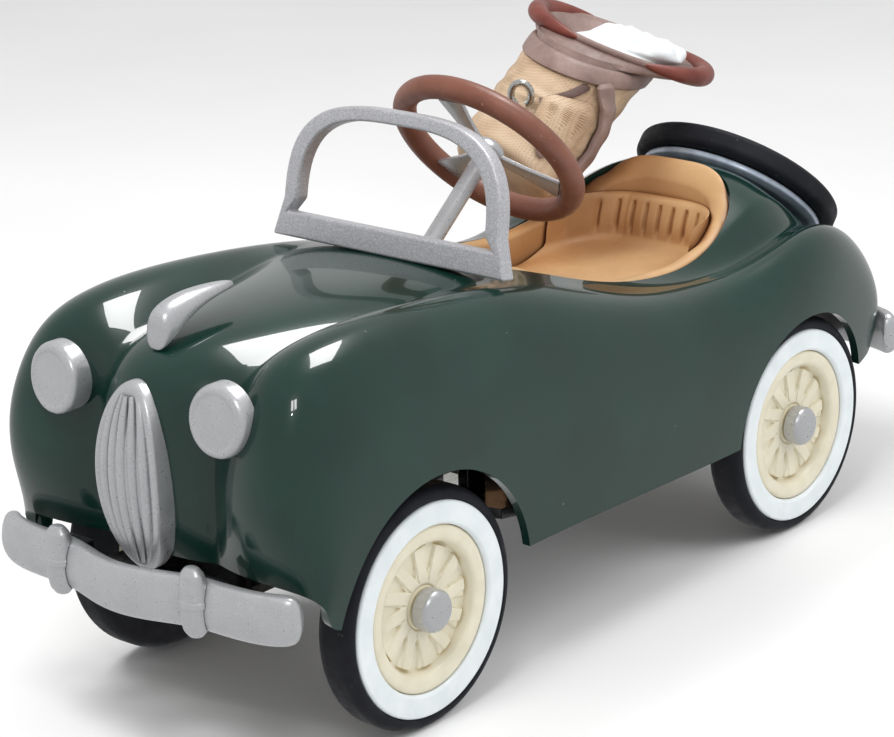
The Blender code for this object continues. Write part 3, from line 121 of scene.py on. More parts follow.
class Paint:
    """A material under construction: its node tree, its shader and short calls for the usual nodes."""

    def __init__(self, name, roughness, metallic=0.0, coat=0.0, coat_roughness=0.05, specular=0.5):
        self.material = bpy.data.materials.new(name)
        self.material.use_nodes = True
        self.nodes = self.material.node_tree.nodes
        self.links = self.material.node_tree.links
        self.shader = self.nodes["Principled BSDF"]
        self.shader.inputs["Roughness"].default_value = roughness
        self.shader.inputs["Metallic"].default_value = metallic
        self.shader.inputs["Coat Weight"].default_value = coat
        self.shader.inputs["Coat Roughness"].default_value = coat_roughness
        self.shader.inputs["Specular IOR Level"].default_value = specular
        self.place = self.nodes.new("ShaderNodeTexCoord").outputs["Object"]

    def noise(self, size, detail=2.0, stretch=None):
        """Noise with features of a size in millimetres; stretch scales each axis of it."""
        node = self.nodes.new("ShaderNodeTexNoise")
        node.inputs["Scale"].default_value = 1 / (size * MM)
        node.inputs["Detail"].default_value = detail
        self.links.new(self.scaled(stretch) if stretch else self.place, node.inputs["Vector"])
        return node.outputs["Fac"]

    def scaled(self, factors):
        node = self.nodes.new("ShaderNodeMapping")
        node.inputs["Scale"].default_value = factors
        self.links.new(self.place, node.inputs["Vector"])
        return node.outputs["Vector"]

    def cells(self, size, output="Color"):
        """Cells of a size in millimetres: each one's own colour, or the distance from its middle."""
        node = self.nodes.new("ShaderNodeTexVoronoi")
        node.inputs["Scale"].default_value = 1 / (size * MM)
        self.links.new(self.place, node.inputs["Vector"])
        return node.outputs[output]

    def waves(self, size, direction):
        node = self.nodes.new("ShaderNodeTexWave")
        node.bands_direction = direction
        node.inputs["Scale"].default_value = 1 / (size * MM) / 2
        self.links.new(self.place, node.inputs["Vector"])
        return node.outputs["Fac"]

    def ramp(self, value, *stops):
        """A colour ramp; each stop is (position, colour)."""
        node = self.nodes.new("ShaderNodeValToRGB")
        elements = node.color_ramp.elements
        while len(elements) < len(stops):
            elements.new(0.5)
        for element, (position, colour) in zip(elements, stops):
            element.position = position
            element.color = colour
        self.links.new(value, node.inputs["Fac"])
        return node.outputs["Color"]

    def level(self, value, low, high, start, stop):
        """The value mapped from low..high to start..stop."""
        node = self.nodes.new("ShaderNodeMapRange")
        for key, number in (("From Min", low), ("From Max", high), ("To Min", start), ("To Max", stop)):
            node.inputs[key].default_value = number
        self.links.new(value, node.inputs["Value"])
        return node.outputs["Result"]

    def mix(self, factor, first, second, blend="MIX"):
        node = self.nodes.new("ShaderNodeMix")
        node.data_type = "RGBA"
        node.blend_type = blend
        sockets = (node.inputs["Factor"], node.inputs[6], node.inputs[7])
        for socket, value in zip(sockets, (factor, first, second)):
            if isinstance(value, (int, float, tuple)):
                socket.default_value = value
            else:
                self.links.new(value, socket)
        return node.outputs[2]

    def math(self, operation, first, second):
        node = self.nodes.new("ShaderNodeMath")
        node.operation = operation
        for socket, value in zip(node.inputs, (first, second)):
            if isinstance(value, (int, float)):
                socket.default_value = value
            else:
                self.links.new(value, socket)
        return node.outputs["Value"]

    def cloud(self, size, detail, dark, light):
        """A slow drift between two colours, in patches of a size in millimetres."""
        return self.ramp(self.noise(size, detail), (0.3, dark), (0.7, light))

    def colour(self, value):
        self.links.new(value, self.shader.inputs["Base Color"])

    def rough(self, value):
        self.links.new(value, self.shader.inputs["Roughness"])

    def uneven(self, size, detail, low, high):
        """Roughness that drifts between two values, in patches of a size in millimetres."""
        self.rough(self.level(self.noise(size, detail), 0.3, 0.7, low, high))

    def bump(self, value, height, strength=1.0):
        """A bump of a height in millimetres."""
        node = self.nodes.new("ShaderNodeBump")
        node.inputs["Distance"].default_value = height * MM
        node.inputs["Strength"].default_value = strength
        self.links.new(value, node.inputs["Height"])
        self.links.new(node.outputs["Normal"], self.shader.inputs["Normal"])

    def shade_hollows(self, base, distance, *stops):
        """Painted shade: the base colour times a ramp of how open the surface is within a distance in
        millimetres.
        """
        hollow = self.nodes.new("ShaderNodeAmbientOcclusion")
        hollow.inputs["Distance"].default_value = distance * MM
        self.colour(self.mix(1.0, base, self.ramp(hollow.outputs["AO"], *stops), "MULTIPLY"))


def green_enamel():
    """Deep bottle green under a glassy coat, with specks of dust and a faint waviness."""
    paint = Paint("green_enamel", 0.25, coat=0.85, coat_roughness=0.015, specular=0.15)
    base = paint.cloud(9, 3, srgb(10, 40, 33), srgb(15, 49, 41))
    dust = paint.level(paint.cells(1.7, "Distance"), 0.022, 0.035, 1, 0)
    some = paint.level(paint.noise(2.3, 0), 0.62, 0.68, 0, 1)
    paint.colour(paint.mix(paint.math("MULTIPLY", dust, some), base, srgb(205, 212, 208)))
    paint.bump(paint.noise(2.2, 2), 0.006)
    return paint.material


def silver_lacquer():
    """Satin silver paint: a very fine flake and slow clouds of light and dark."""
    paint = Paint("silver_lacquer", 0.3, metallic=0.6, coat=0.15, coat_roughness=0.12)
    flake = paint.cells(0.07)
    base = paint.ramp(flake, (0.0, srgb(178, 179, 181)), (0.5, srgb(188, 189, 191)),
                      (1.0, srgb(200, 201, 203)))
    cloud = paint.ramp(paint.noise(3.5, 2), (0.35, srgb(249, 249, 250)), (0.65, WHITE))
    paint.colour(paint.mix(1.0, base, cloud, "MULTIPLY"))
    paint.uneven(0.6, 2, 0.27, 0.34)
    paint.bump(paint.noise(0.5, 1), 0.002)
    return paint.material


def sparkle_silver():
    """The windshield's metal-flake paint: each flake a little lighter or darker and tilted its own way."""
    paint = Paint("sparkle_silver", 0.4, metallic=0.45, coat=0.2, coat_roughness=0.2)
    paint.colour(paint.ramp(paint.cells(0.08), (0.1, srgb(158, 158, 162)), (0.5, srgb(180, 180, 184)),
                            (0.9, srgb(208, 208, 212))))
    paint.uneven(0.2, 1, 0.34, 0.5)
    paint.bump(paint.cells(0.08), 0.002, 0.4)
    return paint.material


def tan_moulding():
    """The cockpit's tan plastic: soft sheen, a slight grain, and painted shade that darkens its hollows
    towards brown.
    """
    paint = Paint("tan_moulding", 0.5, specular=0.4)
    cloud = paint.cloud(6, 3, srgb(186, 148, 105), srgb(202, 163, 118))
    # painted shade: the colour darkens towards brown where ambient occlusion finds the surface closed in,
    # within 12 mm
    paint.shade_hollows(cloud, 12, (0.2, srgb(150, 112, 84)), (0.55, srgb(224, 204, 188)), (0.85, WHITE))
    paint.uneven(0.8, 3, 0.42, 0.6)
    paint.bump(paint.noise(0.35, 3), 0.012)
    return paint.material


def brown_moulding():
    """The steering wheel's red-brown plastic, satin, with a few lighter rubbed specks."""
    paint = Paint("brown_moulding", 0.4, specular=0.45)
    base = paint.cloud(4, 3, srgb(112, 68, 54), srgb(130, 84, 68))
    speck = paint.level(paint.noise(0.35, 2), 0.70, 0.76, 0, 0.6)
    paint.colour(paint.mix(speck, base, srgb(190, 150, 132)))
    paint.uneven(1.5, 2, 0.34, 0.5)
    paint.bump(paint.noise(0.5, 2), 0.008)
    return paint.material


def tyre_black():
    """Smooth black rubber with a faint blue cast, fine grain and a little dust."""
    paint = Paint("tyre_black", 0.55, specular=0.14)
    base = paint.cloud(3, 3, srgb(24, 25, 30), srgb(32, 33, 38))
    dust = paint.level(paint.noise(0.5, 3), 0.68, 0.78, 0, 0.25)
    paint.colour(paint.mix(dust, base, srgb(120, 122, 125)))
    paint.uneven(1.2, 3, 0.46, 0.66)
    paint.bump(paint.noise(0.25, 3), 0.010)
    return paint.material


def whitewall_rubber():
    """The white band: slightly cool, satin, with faint handling marks."""
    paint = Paint("whitewall_rubber", 0.38, specular=0.4)
    base = paint.cloud(2.8, 4, srgb(214, 222, 225), srgb(226, 232, 234))
    mark = paint.level(paint.noise(0.9, 3, stretch=(1, 1, 0.3)), 0.66, 0.8, 0, 0.16)
    paint.colour(paint.mix(mark, base, srgb(170, 172, 172)))
    paint.bump(paint.noise(0.6, 2), 0.004)
    return paint.material


def cream_moulding():
    """The wheels' cream plastic, with painted shade that makes it darker and yellower in its hollows."""
    paint = Paint("cream_moulding", 0.36, specular=0.5)
    base = paint.cloud(2.5, 3, srgb(214, 207, 184), srgb(223, 217, 196))
    # painted shade: darker and yellower in the hollows, within 0.9 mm
    paint.shade_hollows(base, 0.9, (0.3, srgb(226, 214, 184)), (0.8, WHITE))
    paint.bump(paint.noise(0.5, 2), 0.006)
    return paint.material


def black_gloss():
    """The black underside mouldings, glossy with a slight orange peel."""
    paint = Paint("black_gloss", 0.2, coat=0.6, coat_roughness=0.06)
    paint.colour(paint.cloud(4, 2, srgb(14, 15, 17), srgb(24, 25, 28)))
    paint.uneven(0.9, 3, 0.14, 0.3)
    paint.bump(paint.noise(1.1, 2), 0.008)
    return paint.material


def bright_steel():
    """Drawn steel wire and pins with fine lengthwise lines."""
    paint = Paint("bright_steel", 0.24, metallic=1.0)
    lines = paint.noise(0.12, 2, stretch=(1, 0.08, 1))
    paint.colour(paint.ramp(lines, (0.3, srgb(178, 178, 174)), (0.7, srgb(216, 216, 212))))
    paint.rough(paint.level(lines, 0.3, 0.7, 0.16, 0.34))
    paint.bump(lines, 0.0008)
    return paint.material


def painted_canvas():
    """The bag's tan paint over a moulded weave, hand-shaded darker in patches."""
    paint = Paint("painted_canvas", 0.6, specular=0.3)
    base = paint.ramp(paint.noise(5, 4), (0.28, srgb(158, 131, 106)), (0.5, srgb(188, 162, 134)),
                      (0.72, srgb(205, 182, 156)))
    weave = paint.math("ADD", paint.waves(0.42, "X"), paint.waves(0.42, "Z"))
    thread = paint.ramp(weave, (0.2, srgb(232, 228, 224)), (1.0, WHITE))
    paint.colour(paint.mix(1.0, base, thread, "MULTIPLY"))
    paint.uneven(1.1, 3, 0.5, 0.7)
    paint.bump(weave, 0.007, 0.6)
    return paint.material


def painted_leather(name, dark, light, rough):
    """Painted leather trim: grain, and the paint thinner on the raised places."""
    paint = Paint(name, rough, specular=0.4)
    base = paint.cloud(3.2, 4, dark, light)
    grain = paint.cells(0.45, "Distance")
    paint.colour(paint.mix(paint.level(grain, 0.0, 0.5, 0.0, 0.12), base, BLACK))
    paint.uneven(1.3, 3, rough - 0.08, rough + 0.12)
    paint.bump(grain, 0.010, 0.5)
    return paint.material


def painted_towel():
    """White paint over a moulded terry pile, with painted shade that greys its folds."""
    paint = Paint("painted_towel", 0.75, specular=0.25)
    base = paint.cloud(2.6, 3, srgb(216, 221, 224), srgb(236, 239, 240))
    # painted shade: greyer in the folds and hollows, within 1.5 mm
    paint.shade_hollows(base, 1.5, (0.3, srgb(196, 200, 206)), (0.9, WHITE))
    pile = paint.noise(0.3, 4)
    paint.rough(paint.level(pile, 0.3, 0.7, 0.65, 0.85))
    paint.bump(pile, 0.04)
    return paint.material


def seat_ring_silver():
    """The light ring that the spare wheel lies on, a cooler, smoother silver."""
    paint = Paint("seat_ring_silver", 0.3, metallic=0.4, coat=0.3)
    paint.colour(paint.cloud(1.4, 3, srgb(150, 162, 178), srgb(180, 190, 204)))
    paint.bump(paint.noise(0.3, 2), 0.006)
    return paint.material


FINISHES = {
    "green_paint": green_enamel(),
    "silver_paint": silver_lacquer(),
    "tan_plastic": tan_moulding(),
    "brown_plastic": brown_moulding(),
    "tyre_rubber": tyre_black(),
    "white_rubber": whitewall_rubber(),
    "cream_plastic": cream_moulding(),
    "black_plastic": black_gloss(),
    "steel": bright_steel(),
    "bag_canvas": painted_canvas(),
    "bag_leather": painted_leather("painted_brown_leather", srgb(128, 104, 98), srgb(156, 132, 124), 0.5),
    "bag_red_leather": painted_leather("painted_red_leather", srgb(104, 48, 40), srgb(132, 70, 58), 0.4),
    "towel_white": painted_towel(),
}
# painted shade: a dark grained strip laid on the bag stands for the shaded opening of the pocket's slit
SLIT_SHADE = painted_leather("painted_slit_shade", srgb(78, 56, 52), srgb(100, 76, 70), 0.6)
SEAT_RING = seat_ring_silver()
WINDSHIELD_SILVER = sparkle_silver()


# ---------------------------------------------------------------- mesh helpers
def mm(*xyz):
    """A place in the frame, in metres, from millimetres."""
    if len(xyz) == 1:
        xyz = xyz[0]
    return Vector(xyz) * MM + Vector((0, ORIGIN_Y, 0))


def smooth_shade(mesh, angle=40):
    mesh.shade_smooth()
    mesh.set_sharp_from_angle(angle=math.radians(angle))


def add(name, mesh):
    """A smooth-shaded object in the scene."""
    obj = bpy.data.objects.new(name, mesh)
    bpy.context.scene.collection.objects.link(obj)
    smooth_shade(mesh)
    return obj


def finish_bmesh(bm, name):
    """A welded mesh with outward faces; the bmesh is used up."""
    bmesh.ops.remove_doubles(bm, verts=bm.verts, dist=WELD)
    bmesh.ops.recalc_face_normals(bm, faces=bm.faces)
    mesh = bpy.data.meshes.new(name)
    bm.to_mesh(mesh)
    bm.free()
    return mesh


def bake(obj, smooth=40):
    """The object with its modifiers applied."""
    depsgraph = bpy.context.evaluated_depsgraph_get()
    mesh = bpy.data.meshes.new_from_object(obj.evaluated_get(depsgraph))
    obj.modifiers.clear()
    obj.data = mesh
    smooth_shade(mesh, smooth)
    return obj


def boolean(obj, other, operation="DIFFERENCE"):
    """Cut or join another object, which is used up."""
    modifier = obj.modifiers.new(operation.title(), "BOOLEAN")
    modifier.operation = operation
    modifier.solver = "EXACT"
    modifier.object = other
    bake(obj)
    bpy.data.objects.remove(other, do_unlink=True)
    return obj


def bevel(obj, width, segments=3, angle=35):
    """Round the edges, as a moulding or a pressing has them."""
    modifier = obj.modifiers.new("Rounded edges", "BEVEL")
    modifier.width = width * MM
    modifier.segments = segments
    modifier.limit_method = "ANGLE"
    modifier.angle_limit = math.radians(angle)
    modifier.use_clamp_overlap = True
    return bake(obj, 50)


def subdivide(obj, levels):
    modifier = obj.modifiers.new("Smooth", "SUBSURF")
    modifier.levels = modifier.render_levels = levels
    return bake(obj)


def ring_angles(count):
    return [2 * math.pi * k / count for k in range(count)]


def loft(name, rings, closed_path=False):
    """A skin through rings of points, capped, or with the last ring joined back to the first."""
    bm = bmesh.new()
    rows = [[bm.verts.new(mm(p)) for p in ring] for ring in rings]
    count = len(rings[0])
    pairs = list(zip(rows, rows[1:]))
    if closed_path:
        pairs.append((rows[-1], rows[0]))
    for low, high in pairs:
        for i in range(count):
            j = (i + 1) % count
            bm.faces.new((low[i], low[j], high[j], high[i]))
    if not closed_path:
        bm.faces.new(rows[0][::-1])
        bm.faces.new(rows[-1])
    return add(name, finish_bmesh(bm, name))


def rounded(profile, radius, steps=4):
    """A profile with each inner corner replaced by a short arc, for turned mouldings."""
    points = [Vector(profile[0])]
    for before, here, after in zip(profile, profile[1:], profile[2:]):
        before, here, after = Vector(before), Vector(here), Vector(after)
        back, ahead = before - here, after - here
        reach = min(radius, back.length * 0.45, ahead.length * 0.45)
        start, stop = here + back.normalized() * reach, here + ahead.normalized() * reach
        for k in range(steps + 1):
            t = k / steps
            points.append((1 - t) ** 2 * start + 2 * t * (1 - t) * here + t * t * stop)
    points.append(Vector(profile[-1]))
    return [tuple(p) for p in points]


def turned(name, profile, steps=96, relief=None):
    """A turned piece round local Z in local metres; relief(x, y, height) may lift a point of it."""
    bm = bmesh.new()
    rows = []
    for radius, height in profile:
        if radius == 0:
            rows.append([bm.verts.new((0, 0, height * MM))])
            continue
        row = []
        for a in ring_angles(steps):
            x, y = math.cos(a) * radius, math.sin(a) * radius
            z = relief(x, y, height) if relief else height
            row.append(bm.verts.new((x * MM, y * MM, z * MM)))
        rows.append(row)
    pairs = list(zip(rows, rows[1:]))
    if profile[0][0] and profile[-1][0]:
        pairs.append((rows[-1], rows[0]))
    for low, high in pairs:
        for i in range(steps):
            j = (i + 1) % steps
            corners = [low[i % len(low)], low[j % len(low)], high[j % len(high)], high[i % len(high)]]
            bm.faces.new(list(dict.fromkeys(corners)))
    return add(name, finish_bmesh(bm, name))


def sweep(name, path, radius, sides=16, closed=False):
    """A round wire along a path of points in millimetres; radius is a number or one for each point."""
    count = len(path)
    points = [Vector(p) for p in path]
    rings = []
    side = None
    for i, point in enumerate(points):
        ahead = points[(i + 1) % count] if closed or i < count - 1 else point
        behind = points[i - 1] if closed or i else point
        along = (ahead - behind).normalized()
        if side is None:
            side = along.orthogonal()
        side = (side - along * side.dot(along)).normalized()
        across = along.cross(side)
        r = radius[i] if isinstance(radius, (list, tuple)) else radius
        rings.append([point + (side * math.cos(a) + across * math.sin(a)) * r for a in ring_angles(sides)])
    return loft(name, rings, closed_path=closed)


def smooth_step(value, low, high):
    t = min(max((value - low) / (high - low), 0), 1)
    return t * t * (3 - 2 * t)


def interpolate(table, value):
    """Smooth interpolation through (position, height) pairs in rising order of position."""
    if value <= table[0][0]:
        return table[0][1]
    for (a, low), (b, high) in zip(table, table[1:]):
        if value <= b:
            half = (high - low) * 0.5
            return low + half * smooth_step(value, a, b) + half * (value - a) / (b - a)
    return table[-1][1]


def dress(obj, body, slot, *nodes, finish=None):
    """Give a finished piece its material, taken by slot unless a finish is given, attach it to its body, and
    hide the CAD nodes it stands for.
    """
    obj.data.materials.clear()
    obj.data.materials.append(finish or FINISHES[slot])
    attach(obj, body)
    if nodes:
        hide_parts(*nodes)
    return obj


# ---------------------------------------------------------------- body shell
# The cage of the left half. Each station runs from the centre line out over the bonnet flank, the
# valley, the fender's inner flank, its crown and shoulder, and down the side to the bottom edge.
BODY_CAGE = [
    # lower edge of the nose, and round the corner to the front of the arch
    [(0, -51.0, 20.6), (4.5, -50.9, 20.6), (7.6, -49.9, 20.6), (10.8, -50.9, 20.7), (15, -51.2, 20.7),
     (18.6, -50.7, 20.5), (20.6, -49.6, 19.6), (21.0, -48.9, 18.2), (20.6, -48.4, 16.4)],
    [(0, -52.6, 27), (4.6, -52.4, 27), (7.7, -49.8, 27), (10.4, -52.2, 27.5), (15, -53.6, 28),
     (19.5, -52.8, 27.5), (21.3, -48.9, 25.5), (21.4, -47.6, 21.5), (20.7, -46.8, 15.8)],
    [(0, -53.0, 32.5), (4.8, -52.6, 32.5), (7.9, -49.6, 32.2), (10.3, -51.1, 33), (14.8, -52.5, 34.2),
     (19.3, -52.6, 33.4), (21.2, -47.6, 30.5), (21.5, -45.2, 24), (20.8, -44.4, 15.2)],
    [(0, -52.6, 38.4), (4.6, -51.8, 38.2), (8.1, -48.2, 37.0), (10.6, -48.8, 38.9), (14.6, -50.7, 40.4),
     (19.0, -49.4, 38.6), (21.0, -45.2, 34), (21.5, -41, 25), (20.9, -40, 14.8)],
    [(0, -48.6, 41.8), (4.4, -47.8, 41.3), (8.4, -44.6, 38.8), (11, -45.4, 41.4), (14.6, -46.2, 43.2),
     (18.7, -45, 41.2), (20.9, -41, 35.8), (21.5, -36.5, 25.6), (20.9, -36, 14.6)],
    [(0, -40, 42.4), (5.2, -39.6, 41.9), (9.0, -37.8, 39.8), (11.4, -37.4, 42.2), (14.6, -37.4, 43.9),
     (18.6, -36.6, 41.8), (20.8, -35, 36.2), (21.5, -32, 26.2), (20.9, -31, 14.8)],
    [(0, -28, 42.6), (6.8, -27.6, 42.1), (10.6, -26.8, 40.6), (12.6, -26.4, 41.9), (14.8, -26.2, 43.0),
     (18.2, -26, 40.8), (20.6, -26, 35.2), (21.3, -25.6, 26), (20.9, -25.4, 15.0)],
    [(0, -16, 41.8), (8, -16, 41.6), (12, -16, 41.3), (14, -16, 41.2), (15.8, -16, 41.2),
     (18.4, -16, 39.0), (20.3, -16, 33.6), (21.1, -16, 25.5), (20.8, -16, 15.0)],
    [(0, -7, 41.2), (8, -7, 41.0), (12.4, -7, 40.2), (14.2, -7, 39.6), (16.4, -7, 38.8),
     (18.9, -7, 36.8), (20.4, -7, 31.8), (21.1, -7, 24.5), (20.8, -7, 14.8)],
    [(0, 7, 38.0), (8, 7, 37.4), (12.5, 7, 35.0), (14.5, 7, 34.4), (16.7, 7, 34.2),
     (19.0, 7, 32.9), (20.5, 7, 29), (21.1, 7, 23), (20.8, 7, 14.3)],
    [(0, 20, 37.0), (8, 20, 36.0), (12.6, 20, 33.4), (14.6, 20, 32.6), (16.6, 20, 32.2),
     (19.0, 20, 31.3), (20.8, 20, 28.2), (21.3, 20, 22.5), (20.8, 20, 13.9)],
    [(0, 30, 40.0), (8, 30, 39.0), (12.7, 30, 35.6), (14.6, 30, 32.0), (17.0, 29.6, 33.8),
     (19.6, 29.4, 33.4), (21.3, 29, 29.6), (21.5, 29, 22.5), (20.8, 29, 14.2)],
    [(0, 38.4, 41.6), (7, 38.2, 41.2), (12, 37, 38.6), (14.2, 37, 33.2), (16.8, 37.6, 35.6),
     (19.6, 37.6, 34.2), (21.1, 37, 29.8), (21.2, 36, 22.5), (20.6, 35.4, 14.9)],
    [(0, 44, 36.4), (7, 43.8, 36.0), (11.6, 43.2, 34.4), (13.4, 43.4, 32.4), (15.9, 44.4, 34.3),
     (18.6, 44.2, 32.6), (20.2, 43.6, 28.2), (20.5, 42.0, 22), (20.1, 40.6, 15.6)],
    [(0, 50, 30.8), (7, 49.8, 30.4), (11.2, 49.2, 29.6), (12.8, 49.2, 29.0), (15.0, 50.3, 30.6),
     (17.5, 49.8, 29.0), (19.2, 48.8, 25.8), (19.7, 47.2, 21.2), (19.5, 45.4, 16.4)],
    [(0, 54.0, 26), (6.7, 53.8, 25.8), (10.8, 53.2, 25.3), (12.4, 53.1, 25.2), (14.5, 53.8, 25.8),
     (16.8, 53.2, 24.8), (18.4, 52.0, 22.8), (19.0, 50.2, 19.8), (19.0, 48.4, 17.0)],
    [(0, 54.2, 22.8), (6.5, 54.0, 22.8), (10.4, 53.6, 22.8), (12.2, 53.5, 22.6), (14.2, 53.6, 22.4),
     (16.3, 53.0, 21.8), (17.8, 51.8, 20.6), (18.5, 50.4, 19.0), (18.7, 49.2, 17.8)],
]
BODY_CREASES = {2: 0.55}                        # the valley between bonnet and fender keeps a tight bend


def cage_object(name, levels):
    """The whole skin from the cage of its left half, subdivided."""
    bm = bmesh.new()
    rows = [[bm.verts.new(mm(p)) for p in station] for station in BODY_CAGE]
    crease = bm.edges.layers.float.new("crease_edge")
    for near, far in zip(rows, rows[1:]):
        for i in range(len(near) - 1):
            bm.faces.new((near[i], near[i + 1], far[i + 1], far[i]))
    for near, far in zip(rows, rows[1:]):
        for line, weight in BODY_CREASES.items():
            bm.edges.get((near[line], far[line]))[crease] = weight
    mesh = bpy.data.meshes.new(name)
    bm.to_mesh(mesh)
    bm.free()
    obj = add(name, mesh)
    mirror = obj.modifiers.new("Both sides", "MIRROR")
    mirror.use_clip = True
    mirror.merge_threshold = 1e-5
    return subdivide(obj, levels)


def thicken(obj, thickness, proud=0.0):
    """Give a skin its thickness inward, with its outer face a little proud."""
    solid = obj.modifiers.new("Thickness", "SOLIDIFY")
    solid.thickness = (thickness + proud) * MM
    solid.offset = 2 * proud / (thickness + proud) - 1
    return bake(obj)


def skin_tree():
    """A search tree of the body's outer skin, before any opening is cut in it."""
    skin = cage_object("skin_for_search", 3)
    bm = bmesh.new()
    bm.from_mesh(skin.data)
    tree = BVHTree.FromBMesh(bm)
    bm.free()
    bpy.data.objects.remove(skin, do_unlink=True)
    return tree


SKIN_TREE = skin_tree()


def skin_z(x, y):
    """Height of the body's outer skin at a plan position, in millimetres."""
    return SKIN_TREE.ray_cast(mm(x, y, 100), Vector((0, 0, -1)))[0].z / MM


def skin_front(x, z):
    """Where the outer skin is met going back from the nose, in millimetres of y."""
    return (SKIN_TREE.ray_cast(mm(x, -100, z), Vector((0, 1, 0)))[0].y - ORIGIN_Y) / MM


def skin_cutter(name):
    """The body's wall, a hair proud of its outer face, to cut seats in what stands on it."""
    return thicken(cage_object(name, 2), SKIN, 0.04)


def cockpit_point(angle, inset):
    """A point of the cockpit's plan outline, a rounded rectangle moved in by inset."""
    half_length = (COCKPIT_Y[1] - COCKPIT_Y[0]) / 2 - inset
    half_width = COCKPIT_HALF_WIDTH - inset
    middle = (COCKPIT_Y[0] + COCKPIT_Y[1]) / 2
    c, s = math.cos(angle), math.sin(angle)
    x = math.copysign(abs(c) ** (2 / COCKPIT_POWER), c) * half_width
    y = math.copysign(abs(s) ** (2 / COCKPIT_POWER), s) * half_length + middle
    return x, y


def cockpit_ring(inset, height, count=144):
    """The cockpit's outline as points; height(x, y) gives each one's z."""
    ring = []
    for i in range(count):
        x, y = cockpit_point(2 * math.pi * (i + 0.5) / count, inset)
        ring.append((x, y, height(x, y)))
    return ring


def rod(name, start, end, radius, segments=48):
    """A round bar between two places."""
    start, end = mm(start), mm(end)
    bm = bmesh.new()
    bmesh.ops.create_cone(bm, cap_ends=True, segments=segments, radius1=radius * MM,
                          radius2=radius * MM, depth=(end - start).length)
    turn = (end - start).to_track_quat("Z", "Y").to_matrix().to_4x4()
    bm.transform(Matrix.Translation((start + end) / 2) @ turn)
    return add(name, finish_bmesh(bm, name))


def box(name, low, high):
    """A plain block between two corners."""
    low, high = mm(low), mm(high)
    bm = bmesh.new()
    bmesh.ops.create_cube(bm, size=1)
    bmesh.ops.scale(bm, vec=high - low, verts=bm.verts)
    bmesh.ops.translate(bm, vec=(low + high) / 2, verts=bm.verts)
    return add(name, finish_bmesh(bm, name))


def make_body():
    """The shell with its four wheel arches and the cockpit's opening."""
    body = thicken(cage_object("body", 3), SKIN)
    for side in (-1, 1):
        for y, radius in ((-HALF_BASE, FRONT_ARCH_R), (HALF_BASE, REAR_ARCH_R)):
            boolean(body, rod("arch", (side * 15, y, AXLE_Z), (side * 24, y, AXLE_Z), radius, 96))
    boolean(body, loft("cockpit", [cockpit_ring(0, lambda x, y: 22), cockpit_ring(0, lambda x, y: 50)]))
    dress(body, "car", "green_paint", "body_shell")


# ---------------------------------------------------------------- cockpit
RIM_HEIGHTS = [(-12.6, 41.9), (-10, 41.3), (-6.5, 39.4), (-2.6, 37.4), (2, 35.7), (6.1, 34.8), (12, 33.8),
               (18.9, 33.4), (25, 34.0), (30.5, 35.6), (33.5, 37.6), (36.4, 40.6)]


TUB_WALL = 1.9                                  # from the opening to the lining's inner face


def level(z):
    return lambda x, y: z


def below_rim(drop):
    """Heights a drop below the cockpit's rim, which dips beside the seat."""
    return lambda x, y: interpolate(RIM_HEIGHTS, y) - drop


def column_point(distance):
    """A point on the steering column's axis, a distance down from the centre of the steering wheel."""
    return STEER_CENTRE - STEER_AXIS * distance


def make_tub():
    """The moulded cockpit lining with its rolled rim."""
    half_width, half_height = 0.95, 0.7
    rolled = [(TUB_GAP, 1.8), (TUB_GAP, 0.1)]
    for k in range(1, 12):
        a = math.pi - math.pi * k / 12
        rolled.append((TUB_GAP + half_width + math.cos(a) * half_width, -math.sin(a) * half_height + 0.05))
    rolled += [(TUB_GAP + TUB_WALL, 0.1), (TUB_GAP + TUB_WALL, 1.6)]
    rings = [cockpit_ring(inset, below_rim(drop)) for inset, drop in rolled]
    for inset, height in ((TUB_WALL, 1.6), (2.2, 0.8), (2.8, 0.2), (3.6, 0)):
        rings.append(cockpit_ring(TUB_GAP + inset, level(TUB_FLOOR_Z + height)))
    inner = len(rings)
    for inset, height in ((3.6, -1.0), (0.9, 1.2)):
        rings.append(cockpit_ring(TUB_GAP + inset, level(TUB_FLOOR_Z + height)))
    rings.append(cockpit_ring(TUB_GAP + 0.9, below_rim(1.8)))
    bm = bmesh.new()
    rows = [[bm.verts.new(mm(p)) for p in ring] for ring in rings]
    count = len(rows[0])
    for n, row in enumerate(rows):
        if n == inner - 1:
            continue
        after = rows[(n + 1) % len(rows)]
        for i in range(count):
            j = (i + 1) % count
            bm.faces.new((row[i], row[j], after[j], after[i]))
    bm.faces.new(rows[inner - 1])
    bm.faces.new(rows[inner][::-1])
    tub = add("cockpit_tub", finish_bmesh(bm, "cockpit_tub"))
    boolean(tub, box("footwell", (-9.2, -14, 19.7), (9.2, -7, 36)))
    boolean(tub, rod("column_hole", column_point(10), column_point(22), COLUMN_R + 0.5))
    dress(tub, "car", "tan_plastic", "interior_tub")


PLEAT_PITCH = 1.9
PLEAT_DEPTH = 0.45
BENCH_TOP = 30.6
BENCH_FRONT = 15.0
SEAT_TOP = 36.6


def back_y(x):
    """The foot of the seat back at a distance from the middle; it curls forward along the sides."""
    middle = sum(COCKPIT_Y) / 2
    reach = COCKPIT_Y[1] - middle - TUB_GAP - 2.0
    spread = min(abs(x) / (COCKPIT_HALF_WIDTH - TUB_GAP - 2.0), 1)
    return min(31.9, middle + reach * (1 - spread ** COCKPIT_POWER) ** (1 / COCKPIT_POWER) - 2.0)


